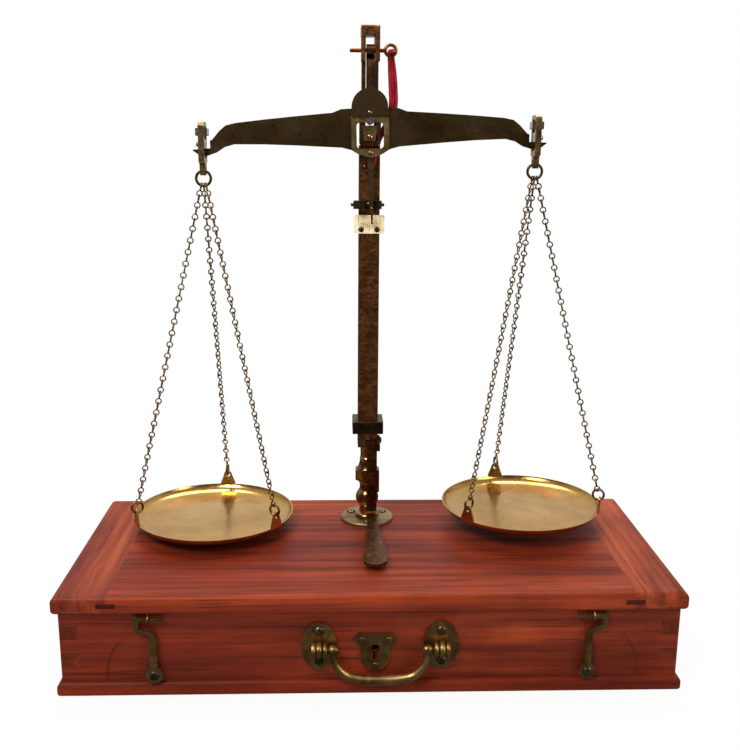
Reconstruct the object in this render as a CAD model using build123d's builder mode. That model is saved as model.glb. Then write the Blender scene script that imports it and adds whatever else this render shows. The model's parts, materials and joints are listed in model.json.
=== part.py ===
from build123d import *
import os
from math import cos, pi, radians, sin, tan

os.makedirs("parts", exist_ok=True)

# Clearances, mm
slip = 0.05          # screw shank or pin in its hole, radial
free = 0.3           # moving piece beside a fixed one
knife_fit = 0.02     # knife bar in the beam's plates, radial

# Wooden case
base_t = 9.3
base_lip = 2.6
side_overhang = 2.5
body_h = 43.0
side_t = 10.5
front_t = 9.0
finger_count = 5
lid_w = 360.0
lid_d = 151.0
lid_t = 11.3
lid_nose = 3.6
base_nose = 3.2
front_overhang = 5.0
batten_w = 30.5
tongue_w = 11.0
tongue_t = 3.0

# Lock and its plate
lock_x = 1.8
lock_w = 30.0
lock_h = 22.0
lock_t = 6.0
lock_wall = 1.2
bolt_w = 9.0
bolt_t = 2.4
bolt_h = 14.0
bolt_travel = 4.0
plate_t = 1.2
shield_half_w = 13.2
shield_h = 24.5
shield_top = 38.3
keyhole_r = 2.6
keyhole_w = 3.2
keyhole_drop = 7.4
keyhole_z = 28.6
shield_pin_r = 1.9
shield_pin_proud = 0.7

# Drop handle
handle_x = 4.6
handle_z = 30.8
handle_span = 70.0
oval_rx = 10.1
oval_rz = 14.6
oval_t = 2.0
barrel_r = 4.6
barrel_l = 9.6
bail_pin_r = 1.5
bail_pin_l = 6.0
bead_r = 2.9
bead_l = 5.2
bead_band = 0.5
bead_shoulder = 0.88
bail_drop = 19.0
bail_r = 2.3
bail_shoulder = 0.5
bail_foot = 0.52
bail_turn_r = 8.0

# Screws that show on the case
screw_head_r = 2.75
screw_head_h = 1.4
screw_shank_r = 1.4
screw_bite = 6.0
slot_w = 0.7
slot_deep = 0.6
handle_screw_z = 9.3

# Side hooks and their screw eyes
hook_inset = 53.2
hook_z = 14.4
hook_t = 1.6
hook_standoff = 2.3
hook_ring_r = 4.8
hook_bar_w = 4.0
hook_arm_w = 2.0
hook_bar_top = 25.5
hook_bulge = 9.0
hook_arm_tip = 6.8
nub_r = 1.5
eye_dx = -2.2
eye_wire_r = 0.5
eye_ring_r = 2.4
eye_drop = 3.1
eye_shank_l = 6.0

# Rear hinges
hinge_x = 100.0
hinge_l = 34.0
leaf_t = 1.2
leaf_d = 8.0
knuckle_r = 2.4
hinge_pin_r = 0.9
hinge_screw_r = 1.7
hinge_shank_r = 0.8
hinge_bite = 5.0
hinge_screw_dx = 9.0

# Pillar
pillar_y = 42.0
flange_r = 17.6
flange_t = 2.0
flange_screw_ring = 12.4
tube_w = 13.0
tube_wall = 1.2
tube_low = 57.2
tube_high = 246.0
collar_w = 20.0
collar_low = 62.0
collar_h = 8.2
neck_r = 4.6
rod_gap = 0.15
column_cap_h = 5.4
rod_high = 310.0
rod_slot_w = 5.2
rod_slot_low = 252.0
head_w = 11.2
head_t = 5.3
cheek_t = 2.6
cheek_drop = 15.0
head_reach = 4.0
lift_travel = 3.5

# Lifting lever: a strap beside the neck that bends forward into a paddle over the lid
lever_x = 2.8
lever_w = 6.5
lever_t = 1.6
lever_gap = 0.9
lever_top = 55.8
toe_top = 57.2
toe_reach = 0.4
lever_foot = 6.5
lever_bend = 3.0
paddle_root_y = 22.0
paddle_round_y = -38.8
ear_h = 5.4
paddle_end_y = -46.0
paddle_end_z = 4.6
paddle_w = 14.4
ear_gap = 0.25
ear_t = 1.3
ear_back = 3.4
flange_lug_low = 22.0
flange_lug_high = 37.0
flange_lug_d = 3.6
pivot_dy = 1.5
pivot_z = 54.5
pivot_r = 1.2
pivot_bite = 5.0
pivot_head_r = 2.3
pivot_head_t = 1.4
stud_w = 3.2
stud_low = 57.6
stud_h = 4.0
stud_front = 8.8
column_max_r = 8.0

# Pointer guard and scale plate on the tube
guard_low = 207.7
guard_h = 4.9
guard_gap = 6.7
guard_reach = 7.6
guard_left_w = 6.6
guard_right_w = 4.2
guard_back_t = 1.4
guard_round = 0.8
scale_round = 0.6
scale_w = 19.0
scale_h = 11.4
scale_low = 192.2
scale_t = 1.2
small_head_r = 1.7
small_head_h = 0.9
small_shank_r = 0.8
small_bite = 1.0
scale_screw_dx = 5.0
scale_screw_dz = 2.5
stud_tip_r = 1.0
stud_tip_l = 1.6

# Beam, measured from the centre knife edge with the beam level
beam_y = 30.0
edge_z = 257.6
arm_l = 101.6
end_drop = 4.2
rest_tilt = 1.5
beam_t = 3.0
cheek_plate_t = 1.5
dome_t = 1.4
centre_w = 23.0
dome_r = 11.0
dome_top = 21.8
dome_low = 5.6
window_w = 16.6
window_top = 1.8
window_low = -13.6
bowl_low = -18.7
bowl_side = -13.0
bowl_turn = -16.7
shoulder_top = 10.1
shoulder_low = -14.3
upper_profile = ((0.171, 9.9), (0.222, 7.9), (0.441, 6.3), (0.63, 4.7), (0.801, 3.0), (0.858, 1.7),
                 (0.897, -1.5), (0.941, -6.5))
lower_profile = ((1.025, -15.2), (0.977, -16.0), (0.919, -14.1), (0.871, -11.0), (0.814, -9.5), (0.633, -9.9),
                 (0.443, -10.9), (0.171, -12.75))
lip_step = -7.0
bowl_ease = 0.97
void_half_w = 8.4
window_round = 2.2
lip_back = 4.6
lip_out = 6.0
lip_top = -11.5
lip_slope = 0.6
knife_centre = 2.4
knife_side = 1.5
knife_r = 2.1
knife_l = 8.6
end_knife_w = 3.4
end_knife_l = 8.0
end_knife_foot = 7.28
end_screw_z = -9.1
end_screw_r = 1.7
end_screw_l = 2.4
pointer_top_w = 4.4
pointer_low_w = 1.8
pointer_t = 1.6
pointer_knee = -49.6
pointer_tip = -59.2
pointer_ball_r = 0.95
cheek_screw_r = 1.5
cheek_screw_top = 7.4
cheek_screw_low = -16.2

# Hanging hook that carries the beam
pin_z = 301.0
pin_r = 1.25
pin_left = -12.4
pin_right = 8.8
pin_eye_r = 3.2
pin_eye_wire_r = 1.0
strap_w = 5.0
strap_t = 2.2
strap_lip = 2.2
strap_sweep = 9.5
loop_half_w = 6.6
loop_wall = 2.0
loop_top = 8.6
loop_low = -12.0
loop_bar = 3.0
block_top_w = 8.8
block_low_w = 6.4
block_t = 5.6
block_gap = 0.03
block_screw_z = -6.8
block_screw_r = 1.6

# End stirrups
stirrup_w = 3.6
stirrup_top = 8.3
stirrup_low = -16.0
stirrup_bar = 2.5
stirrup_foot = 3.0
stirrup_half_d = 7.0
bearing_w = 7.2
bearing_h = 4.6
tail_d = 6.2
tail_flare = 0.9
ring_room = 0.15
tail_hole_r = 1.4

# Rings, chains and pans
ring_drop = 25.1
ring_r = 4.45
ring_wire_r = 0.85
chain_wire_r = 0.45
chain_loop_r = 1.72
chain_links = 28
chain_fan = 24.0
link_gap = 0.05
first_gap = 0.2
neck_wire_r = 0.6
lug_room = 0.32
lug_top_r = 2.8
pan_drop = 215.0
pan_d = 104.0
pan_depth = 6.0
pan_wall = 0.8
pan_flat_r = 26.0
lug_w = 10.0
lug_h = 9.6
lug_t = 1.1
lug_hole_r = 1.5
pan_ring_r = 3.5
pan_ring_wire_r = 0.75
left_lug_turn = 86.0
right_lug_turn = 100.0

# Red cord, doubled, from the tube's screw up through the pin's eye and back
cord_d = 2.0
cord_clear = 0.1
cord_drop_x = 1.6
cord_side_x = 14.6
cord_turn_r = 2.4
arc_share = 0.45
cord_screw_x = -2.6
cord_screw_z = 232.8
cord_room = cord_d + cord_clear * 2

# Places worked out from the sizes above
body_w = lid_w - side_overhang * 2
hook_x = body_w / 2 - hook_inset
lip_start = arm_l - lip_back
lip_end = arm_l + lip_out
case_top = base_t + body_h
lid_top = case_top + lid_t
lid_front = -lid_d / 2
body_front = lid_front + front_overhang
body_back = lid_d / 2
body_d = body_back - body_front
body_y = (body_front + body_back) / 2
finger_h = body_h / finger_count
pivot_y = pillar_y + pivot_dy
pivot_height = lid_top + pivot_z


def save(shape, name):
    """Label a finished piece and write it to its own file."""
    shape.label = name
    export_step(shape, f"parts/{name}.step")


def block(low, high, mode=Mode.ADD):
    """A box from its lowest to its highest corner, inside the open part."""
    middle = [(a + b) / 2 for a, b in zip(low, high)]
    with Locations(tuple(middle)):
        Box(high[0] - low[0], high[1] - low[1], high[2] - low[2], mode=mode)


def drill(places, radius, depth):
    """Round holes that start at each place and run against its normal."""
    with Locations(*[place.location for place in places]):
        Cylinder(radius, depth, align=(Align.CENTER, Align.CENTER, Align.MAX), mode=Mode.SUBTRACT)


def slotted_screw(head_r, head_h, shank_r, shank_l):
    """A slotted screw along +Z, with the underside of its head at the origin."""
    with BuildPart() as screw:
        with BuildSketch(Plane.XZ):
            with BuildLine():
                Polyline((0, -shank_l), (shank_r, -shank_l), (shank_r, 0), (head_r, 0), (head_r, head_h * 0.4))
                ThreePointArc((head_r, head_h * 0.4), (head_r * 0.62, head_h * 0.86), (0, head_h))
                Line((0, head_h), (0, -shank_l))
            make_face()
        revolve(axis=Axis.Z)
        with Locations((0, 0, head_h)):
            Box(slot_w, head_r * 3, slot_deep * 2, mode=Mode.SUBTRACT)
    return screw.part


def sunk_screw(head_r, shank_r, shank_l):
    """A flush countersunk screw along +Z, with the top of its head at the origin."""
    with BuildPart() as screw:
        with BuildSketch(Plane.XZ):
            with BuildLine():
                Polyline((0, 0), (head_r, 0), (shank_r, shank_r - head_r), (shank_r, -shank_l), (0, -shank_l),
                         (0, 0))
            make_face()
        revolve(axis=Axis.Z)
    return screw.part


def group(piece, places):
    """Copies of one piece at several places, as one part of separate solids."""
    with BuildPart() as many:
        with Locations(*[place.location for place in places]):
            add(piece)
    return many.part


def ring(centre, normal, radius, wire_r):
    """A plain wire ring round its centre, square to the normal."""
    with BuildPart() as loop:
        with BuildSketch(Plane.XZ):
            with Locations((radius, 0)):
                Circle(wire_r)
        revolve(axis=Axis.Z)
    return Plane(origin=centre, z_dir=normal).location * loop.part


# Case boards
with BuildPart() as base_board:
    block((-body_w / 2 - base_lip, body_front - base_lip, 0), (body_w / 2 + base_lip, body_back, base_t))
    long_edges = base_board.edges().filter_by(Plane.XY)
    fillet(long_edges.filter_by(Axis.X).sort_by(Axis.Y)[:2] + long_edges.filter_by(Axis.Y), base_nose)
save(base_board.part, "base_board")

screw_places = []
for sx in (-1, 1):
    for sz in (-1, 1):
        screw_places.append(Plane(origin=(handle_x + sx * handle_span / 2, body_front - oval_t,
                                          handle_z + sz * handle_screw_z), x_dir=(1, 0, 0), z_dir=(0, -1, 0)))
hook_front = body_front - hook_standoff - hook_t
hook_places = []
for sx in (-1, 1):
    hook_places.append(Plane(origin=(sx * hook_x, hook_front - slip, hook_z), x_dir=(1, 0, 0),
                             z_dir=(0, -1, 0)))


def end_fingers(first, depth, low_y, high_y):
    """Cut every second finger space out of both ends of a board that runs along X."""
    for step in range(first, finger_count, 2):
        low_z = base_t + step * finger_h
        block((-body_w / 2, low_y, low_z), (-body_w / 2 + depth, high_y, low_z + finger_h), Mode.SUBTRACT)
        block((body_w / 2 - depth, low_y, low_z), (body_w / 2, high_y, low_z + finger_h), Mode.SUBTRACT)


with BuildPart() as front_board:
    block((-body_w / 2, body_front, base_t), (body_w / 2, body_front + front_t, case_top))
    end_fingers(1, side_t, body_front, body_front + front_t)
    block((lock_x - lock_w / 2, body_front + front_t - lock_t, case_top - lock_h),
          (lock_x + lock_w / 2, body_front + front_t, case_top), Mode.SUBTRACT)
    with Locations((lock_x, body_front, keyhole_z)):
        Cylinder(keyhole_r, front_t * 2, rotation=(90, 0, 0), mode=Mode.SUBTRACT)
    block((lock_x - keyhole_w / 2, body_front, keyhole_z - keyhole_drop),
          (lock_x + keyhole_w / 2, body_front + front_t - lock_t, keyhole_z), Mode.SUBTRACT)
    drill([Plane(origin=(p.origin.X, body_front, p.origin.Z), z_dir=(0, -1, 0)) for p in screw_places],
          screw_shank_r + slip, screw_bite)
    drill([Plane(origin=(p.origin.X, body_front, p.origin.Z), z_dir=(0, -1, 0)) for p in hook_places],
          screw_shank_r + slip, screw_bite)
save(front_board.part, "front_board")

hinge_places = []
for sx in (-1, 1):
    for dx in (-hinge_screw_dx, hinge_screw_dx):
        hinge_places.append((sx * hinge_x + dx, body_back - leaf_d / 2))

with BuildPart() as back_board:
    block((-body_w / 2, body_back - front_t, base_t), (body_w / 2, body_back, case_top))
    end_fingers(1, side_t, body_back - front_t, body_back)
    for sx in (-1, 1):
        block((sx * hinge_x - hinge_l / 2, body_back - leaf_d, case_top - leaf_t),
              (sx * hinge_x + hinge_l / 2, body_back, case_top), Mode.SUBTRACT)
        with Locations((sx * hinge_x, body_back + knuckle_r, case_top)):
            Cylinder(knuckle_r + free, hinge_l + free, rotation=(0, 90, 0), mode=Mode.SUBTRACT)
    drill([Plane(origin=(x, y, case_top - leaf_t)) for x, y in hinge_places], hinge_shank_r + slip,
          hinge_bite + slip)
save(back_board.part, "back_board")

for side, name in ((-1, "side_board_left"), (1, "side_board_right")):
    outer = side * body_w / 2
    inner = outer - side * side_t
    with BuildPart() as side_board:
        block((min(outer, inner), body_front, base_t), (max(outer, inner), body_back, case_top))
        for step in range(0, finger_count, 2):
            low_z = base_t + step * finger_h
            block((min(outer, inner), body_front, low_z), (max(outer, inner), body_front + front_t,
                                                           low_z + finger_h), Mode.SUBTRACT)
            block((min(outer, inner), body_back - front_t, low_z), (max(outer, inner), body_back,
                                                                    low_z + finger_h), Mode.SUBTRACT)
    save(side_board.part, name)

# Lid: a panel between two cross battens, held by loose tongues
panel_half = lid_w / 2 - batten_w
tongue_z = lid_top - lid_t / 2
eye_y = hook_front + hook_t / 2
flange_turns = (270, 30, 150)
flange_places = [Plane(origin=(flange_screw_ring * cos(radians(turn)),
                               pillar_y + flange_screw_ring * sin(radians(turn)), lid_top + flange_t))
                 for turn in flange_turns]


def nosed_edges(part, across):
    """Top and bottom edges of a lid piece that show, along the named axes."""
    flat = part.edges().filter_by(Plane.XY)
    chosen = flat.filter_by(Axis.X).sort_by(Axis.Y)[:2] + flat.filter_by(Axis.X).sort_by(Axis.Y)[-2:-1]
    return chosen + across


with BuildPart() as lid_panel:
    block((-panel_half, lid_front, case_top), (panel_half, body_back, lid_top))
    fillet(lid_panel.edges().filter_by(Axis.X).sort_by(Axis.Y)[:2], lid_nose)
    for sx in (-1, 1):
        block((sx * panel_half - tongue_w / 2, lid_front, tongue_z - tongue_t / 2),
              (sx * panel_half + tongue_w / 2, body_back, tongue_z + tongue_t / 2), Mode.SUBTRACT)
        block((sx * hinge_x - hinge_l / 2, body_back - leaf_d, case_top),
              (sx * hinge_x + hinge_l / 2, body_back, case_top + leaf_t), Mode.SUBTRACT)
        with Locations((sx * hinge_x, body_back + knuckle_r, case_top)):
            Cylinder(knuckle_r + free, hinge_l + free, rotation=(0, 90, 0), mode=Mode.SUBTRACT)
        with Locations((sx * (hook_x - eye_dx), eye_y, case_top + eye_shank_l / 2)):
            Cylinder(eye_wire_r + slip, eye_shank_l + slip, mode=Mode.SUBTRACT)
    drill([Plane(origin=(x, y, case_top + leaf_t), z_dir=(0, 0, -1)) for x, y in hinge_places],
          hinge_shank_r + slip, hinge_bite + slip)
    drill([Plane(origin=(p.origin.X, p.origin.Y, lid_top)) for p in flange_places],
          screw_shank_r + slip, screw_bite)
    block((lock_x - bolt_w / 2 - free, body_front + front_t - lock_t, case_top),
          (lock_x + bolt_w / 2 + free, body_front + front_t, case_top + bolt_travel + free), Mode.SUBTRACT)
save(lid_panel.part, "lid_panel")

with BuildPart() as lid_battens:
    for sx in (-1, 1):
        low_x, high_x = sorted((sx * panel_half, sx * lid_w / 2))
        block((low_x, lid_front, case_top), (high_x, body_back, lid_top))
    flat = lid_battens.edges().filter_by(Plane.XY)
    outer_ends = flat.filter_by(Axis.Y).sort_by(Axis.X)
    fillet(flat.filter_by(Axis.X).sort_by(Axis.Y)[:4] + outer_ends[:2] + outer_ends[-2:], lid_nose)
    for sx in (-1, 1):
        block((sx * panel_half - tongue_w / 2, lid_front, tongue_z - tongue_t / 2),
              (sx * panel_half + tongue_w / 2, body_back, tongue_z + tongue_t / 2), Mode.SUBTRACT)
save(lid_battens.part, "lid_battens")

with BuildPart() as lid_tongues:
    for sx in (-1, 1):
        block((sx * panel_half - tongue_w / 2, lid_front, tongue_z - tongue_t / 2),
              (sx * panel_half + tongue_w / 2, body_back, tongue_z + tongue_t / 2))
save(lid_tongues.part, "lid_tongues")

# Rear butt hinges: the outer knuckles are on the case leaf, the middle one on the lid leaf
knuckle_y = body_back + knuckle_r
third = hinge_l / 3
with BuildPart() as hinge_leaves:
    for sx in (-1, 1):
        for low_z, high_z, steps in ((case_top - leaf_t, case_top - slip, (-1, 1)),
                                     (case_top + slip, case_top + leaf_t, (0,))):
            with BuildPart(mode=Mode.PRIVATE) as leaf:
                block((sx * hinge_x - hinge_l / 2, body_back - leaf_d, low_z),
                      (sx * hinge_x + hinge_l / 2, body_back, high_z))
                for step in steps:
                    middle = sx * hinge_x + step * third
                    block((middle - third / 2 + slip, body_back, low_z), (middle + third / 2 - slip, knuckle_y,
                                                                           high_z))
                    with Locations((middle, knuckle_y, case_top)):
                        Cylinder(knuckle_r, third - 2 * slip, rotation=(0, 90, 0))
                for step in {-1, 0, 1} - set(steps):
                    middle = sx * hinge_x + step * third
                    block((middle - third / 2 - slip, body_back, case_top - knuckle_r),
                          (middle + third / 2 + slip, knuckle_y + knuckle_r, case_top + knuckle_r), Mode.SUBTRACT)
                with Locations((sx * hinge_x, knuckle_y, case_top)):
                    Cylinder(hinge_pin_r + slip, hinge_l * 2, rotation=(0, 90, 0), mode=Mode.SUBTRACT)
                for dx in (-hinge_screw_dx, hinge_screw_dx):
                    with Locations((sx * hinge_x + dx, body_back - leaf_d / 2, (low_z + high_z) / 2)):
                        Cylinder(hinge_screw_r + slip, leaf_t, mode=Mode.SUBTRACT)
            add(leaf.part)
save(hinge_leaves.part, "hinge_leaves")

hinge_pin = Cylinder(hinge_pin_r, hinge_l)
save(group(hinge_pin, [Plane(origin=(sx * hinge_x, knuckle_y, case_top), z_dir=(1, 0, 0)) for sx in (-1, 1)]),
     "hinge_pins")
hinge_screw = sunk_screw(hinge_screw_r, hinge_shank_r, hinge_bite + leaf_t)
save(group(hinge_screw, [Plane(origin=(x, y, case_top - slip)) for x, y in hinge_places]
           + [Plane(origin=(x, y, case_top + slip), z_dir=(0, 0, -1)) for x, y in hinge_places]), "hinge_screws")

# Lock: an open-topped case in the front board, with a bolt that rises into the lid
lock_back = body_front + front_t
lock_low = case_top - lock_h
with BuildPart() as lock_case:
    block((lock_x - lock_w / 2, lock_back - lock_t, lock_low), (lock_x + lock_w / 2, lock_back, case_top))
    block((lock_x - lock_w / 2 + lock_wall, lock_back - lock_t + lock_wall, lock_low + lock_wall),
          (lock_x + lock_w / 2 - lock_wall, lock_back - lock_wall, case_top - lock_wall), Mode.SUBTRACT)
    block((lock_x - bolt_w / 2 - free, lock_back - lock_t / 2 - bolt_t / 2 - free, case_top - lock_wall),
          (lock_x + bolt_w / 2 + free, lock_back - lock_t / 2 + bolt_t / 2 + free, case_top), Mode.SUBTRACT)
    block((lock_x - keyhole_w / 2, lock_back - lock_t, keyhole_z - keyhole_drop),
          (lock_x + keyhole_w / 2, lock_back - lock_t + lock_wall, keyhole_z + keyhole_r), Mode.SUBTRACT)
save(lock_case.part, "lock_case")

bolt_top = case_top - slip
with BuildPart() as lock_bolt:
    block((lock_x - bolt_w / 2, lock_back - lock_t / 2 - bolt_t / 2, bolt_top - bolt_h),
          (lock_x + bolt_w / 2, lock_back - lock_t / 2 + bolt_t / 2, bolt_top))
    chamfer(lock_bolt.edges().group_by(Axis.Z)[-1], bolt_t / 6)
save(lock_bolt.part, "lock_bolt")

# Shield-shaped lock plate
shield_low = shield_top - shield_h
shield_shoulder = shield_top - shield_h * 0.17
shield_waist = shield_top - shield_h * 0.45
shield_hip = shield_top - shield_h * 0.74
shield_plane = Plane(origin=(lock_x, body_front, 0), x_dir=(1, 0, 0), z_dir=(0, -1, 0))
pin_spots = [(-shield_half_w * 0.6, shield_top - 4.4), (shield_half_w * 0.6, shield_top - 4.4),
             (0, shield_low + 4.1)]
with BuildPart() as escutcheon:
    with BuildSketch(shield_plane):
        with BuildLine():
            Line((0, shield_top - 0.4), (shield_half_w * 0.72, shield_top))
            ThreePointArc((shield_half_w * 0.72, shield_top), (shield_half_w * 0.86, shield_top - 2.4),
                          (shield_half_w, shield_shoulder))
            ThreePointArc((shield_half_w, shield_shoulder), (shield_half_w * 0.76, shield_top - shield_h * 0.29),
                          (shield_half_w * 0.62, shield_waist))
            ThreePointArc((shield_half_w * 0.62, shield_waist), (shield_half_w * 0.68, shield_top - shield_h * 0.6),
                          (shield_half_w * 0.61, shield_hip))
            ThreePointArc((shield_half_w * 0.61, shield_hip), (shield_half_w * 0.36, shield_low + 2.6),
                          (0, shield_low))
            mirror(about=Plane.YZ)
        make_face()
        with Locations((0, keyhole_z)):
            Circle(keyhole_r, mode=Mode.SUBTRACT)
        with Locations((0, keyhole_z - keyhole_drop / 2)):
            Rectangle(keyhole_w, keyhole_drop, mode=Mode.SUBTRACT)
        with Locations(*pin_spots):
            Circle(shield_pin_r * 0.5 + slip, mode=Mode.SUBTRACT)
    extrude(amount=plate_t)
save(escutcheon.part, "escutcheon")

with BuildPart() as escutcheon_pins:
    with BuildSketch(shield_plane):
        with Locations(*pin_spots):
            Circle(shield_pin_r * 0.5)
    extrude(amount=plate_t)
    with BuildSketch(shield_plane.offset(plate_t)):
        with Locations(*pin_spots):
            Circle(shield_pin_r)
    extrude(amount=shield_pin_proud)
    fillet(escutcheon_pins.faces().filter_by(Axis.Y).sort_by(Axis.Y)[:3].edges(), shield_pin_proud * 0.6)
save(escutcheon_pins.part, "escutcheon_pins")

# Handle plates, each with a turned barrel whose bore takes one end of the bail
barrel_y = body_front - oval_t - barrel_r
with BuildPart() as handle_plates:
    for sx in (-1, 1):
        plate_x = handle_x + sx * handle_span / 2
        with BuildSketch(Plane(origin=(plate_x, body_front, handle_z), x_dir=(1, 0, 0), z_dir=(0, -1, 0))):
            Ellipse(oval_rx, oval_rz)
            with Locations((0, handle_screw_z), (0, -handle_screw_z)):
                Circle(screw_shank_r + slip, mode=Mode.SUBTRACT)
        extrude(amount=oval_t)
        with BuildSketch(Plane(origin=(plate_x, 0, handle_z), x_dir=(0, 1, 0), z_dir=(0, 0, 1))):
            with BuildLine():
                Polyline((barrel_y, -barrel_l / 2), (barrel_y + barrel_r * 0.75, -barrel_l / 2))
                ThreePointArc((barrel_y + barrel_r * 0.75, -barrel_l / 2), (barrel_y + barrel_r, -barrel_l * 0.34),
                              (barrel_y + barrel_r * 0.72, -barrel_l * 0.2))
                ThreePointArc((barrel_y + barrel_r * 0.72, -barrel_l * 0.2), (barrel_y + barrel_r * 1.05, 0),
                              (barrel_y + barrel_r * 0.72, barrel_l * 0.2))
                ThreePointArc((barrel_y + barrel_r * 0.72, barrel_l * 0.2), (barrel_y + barrel_r, barrel_l * 0.34),
                              (barrel_y + barrel_r * 0.75, barrel_l / 2))
                Polyline((barrel_y + barrel_r * 0.75, barrel_l / 2), (barrel_y, barrel_l / 2),
                         (barrel_y, -barrel_l / 2))
            make_face()
        revolve(axis=Axis((plate_x, barrel_y, handle_z), (1, 0, 0)))
        with Locations((plate_x - sx * (barrel_l / 2 - bail_pin_l / 2), barrel_y, handle_z)):
            Cylinder(bail_pin_r + slip, bail_pin_l + 2 * slip, rotation=(0, 90, 0), mode=Mode.SUBTRACT)
save(handle_plates.part, "handle_plates")

# Bail: two turned beads with pins, and a wire that thickens to the middle
bead_x = handle_span / 2 - barrel_l / 2 - free - bead_l / 2
bail_plane = Plane(origin=(handle_x, barrel_y, handle_z), x_dir=(1, 0, 0), z_dir=(0, -1, 0))
with BuildPart() as handle_bail:
    with BuildLine(bail_plane) as bail_line:
        FilletPolyline((-bead_x, 0), (-bead_x, -bail_drop * bail_shoulder), (-bead_x * bail_foot, -bail_drop),
                       (bead_x * bail_foot, -bail_drop), (bead_x, -bail_drop * bail_shoulder), (bead_x, 0),
                       radius=bail_turn_r)
    bail_path = bail_line.wires()[0]
    with BuildSketch(Plane(origin=bail_path @ 0, z_dir=bail_path % 0)):
        Circle(bail_r)
    sweep(path=bail_path)
    for sx in (-1, 1):
        with Locations((handle_x + sx * bead_x, barrel_y, handle_z)):
            Cylinder(bead_r, bead_l * bead_band, rotation=(0, 90, 0))
            Cylinder(bead_r * bead_shoulder, bead_l, rotation=(0, 90, 0))
        with Locations((handle_x + sx * (bead_x + bail_pin_l / 2), barrel_y, handle_z)):
            Cylinder(bail_pin_r, bail_pin_l, rotation=(0, 90, 0))
save(handle_bail.part, "handle_bail")

# Side hooks: a ring on its screw, a bar, a round bulge outwards and an arm through the screw eye
arm_z = case_top - eye_drop - hook_z
for side, name in ((-1, "hook_left"), (1, "hook_right")):
    hook_plane = Plane(origin=(side * hook_x, hook_front + hook_t, hook_z), x_dir=(1, 0, 0), z_dir=(0, -1, 0))
    with BuildPart() as hook:
        with BuildSketch(hook_plane):
            Circle(hook_ring_r)
            with BuildLine():
                Line((0, hook_ring_r * 0.6), (0, hook_bar_top))
            trace(line_width=hook_bar_w)
            with BuildLine():
                FilletPolyline((0, hook_bar_top - 3), (0, hook_bar_top + 0.5), (side * hook_bulge, hook_bar_top + 2.4),
                               (side * hook_bulge, arm_z), (side * (hook_bulge - 6), arm_z), radius=2.6)
            trace(line_width=hook_arm_w * 1.35)
            with BuildLine():
                Line((side * (hook_bulge - 4), arm_z), (-side * hook_arm_tip, arm_z))
            trace(line_width=hook_arm_w)
            with Locations((side * (hook_bulge + 0.6), arm_z + 0.7)):
                Circle(nub_r)
            Circle(screw_shank_r + slip, mode=Mode.SUBTRACT)
        extrude(amount=hook_t)
        with BuildSketch(hook_plane):
            Circle(hook_ring_r * 0.7)
            Circle(screw_shank_r + slip, mode=Mode.SUBTRACT)
        extrude(amount=-(body_front - hook_front - hook_t - slip))
    save(hook.part, name)

case_screw = slotted_screw(screw_head_r, screw_head_h, screw_shank_r, oval_t + screw_bite - slip)
hook_screw = slotted_screw(screw_head_r, screw_head_h, screw_shank_r, body_front - hook_front + screw_bite - 2 * slip)
with BuildPart() as case_screws:
    with Locations(*[place.location for place in screw_places]):
        add(case_screw)
    with Locations(*[place.location for place in hook_places]):
        add(hook_screw)
save(case_screws.part, "case_screws")

eye_z = case_top - eye_drop
with BuildPart() as screw_eye:
    with BuildSketch(Plane.XZ):
        with Locations((eye_ring_r, 0)):
            Circle(eye_wire_r)
    revolve(axis=Axis.Z)
upright = Plane(origin=(0, 0, 0), z_dir=(1, 0, 0)).location * screw_eye.part
with BuildPart() as screw_eyes:
    for sx in (-1, 1):
        with Locations((sx * (hook_x - eye_dx), eye_y, eye_z)):
            add(upright)
        with Locations((sx * (hook_x - eye_dx), eye_y, eye_z + eye_ring_r)):
            Cylinder(eye_wire_r, eye_shank_l + eye_drop - eye_ring_r,
                     align=(Align.CENTER, Align.CENTER, Align.MIN))
save(screw_eyes.part, "screw_eyes")

# Pillar foot and its three screws
with BuildPart() as base_flange:
    with BuildSketch(Plane(origin=(0, pillar_y, lid_top))):
        Circle(flange_r)
    extrude(amount=flange_t)
    chamfer(base_flange.edges().sort_by(Axis.Z)[-1], flange_t / 3)
    drill(flange_places, screw_shank_r + slip, flange_t)
save(base_flange.part, "base_flange")
flange_screw = slotted_screw(screw_head_r, screw_head_h, screw_shank_r, flange_t + screw_bite - slip)
save(group(flange_screw, flange_places), "flange_screws")

# Turned column between the foot and the square tube
with BuildPart() as column:
    with BuildSketch(Plane(origin=(0, pillar_y, lid_top), x_dir=(1, 0, 0), z_dir=(0, -1, 0))):
        with BuildLine():
            Polyline((0, flange_t), (7.2, flange_t))
            ThreePointArc((7.2, flange_t), (8.0, flange_t + 1.3), (7.0, flange_t + 2.6))
            Polyline((7.0, flange_t + 2.6), (5.4, flange_t + 3.2))
            Line((5.4, flange_t + 3.2), (5.0, 9.2))
            ThreePointArc((5.0, 9.2), (7.6, 15.0), (5.4, 20.6))
            ThreePointArc((5.4, 20.6), (5.0, 24.0), (6.8, 27.6))
            Polyline((6.8, 27.6), (6.8, 35.6))
            ThreePointArc((6.8, 35.6), (5.4, 39.0), (neck_r + 0.4, 43.0))
            Polyline((neck_r + 0.4, 43.0), (neck_r, 43.6), (neck_r, tube_low), (0, tube_low), (0, flange_t))
        make_face()
    revolve(axis=Axis((0, pillar_y, 0), (0, 0, 1)))
    with BuildSketch(Plane(origin=(0, pillar_y, lid_top + 28.0))):
        RegularPolygon(8.5, 8, rotation=22.5)
    extrude(amount=7.2)
    with BuildSketch(Plane(origin=(0, pillar_y, lid_top + tube_low - column_cap_h))):
        Rectangle(tube_w, tube_w)
    extrude(amount=column_cap_h)
    drill([Plane(origin=(tube_w / 2, pivot_y, pivot_height), z_dir=(1, 0, 0))], pivot_r + slip, pivot_bite)
save(column.part, "column")

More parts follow.
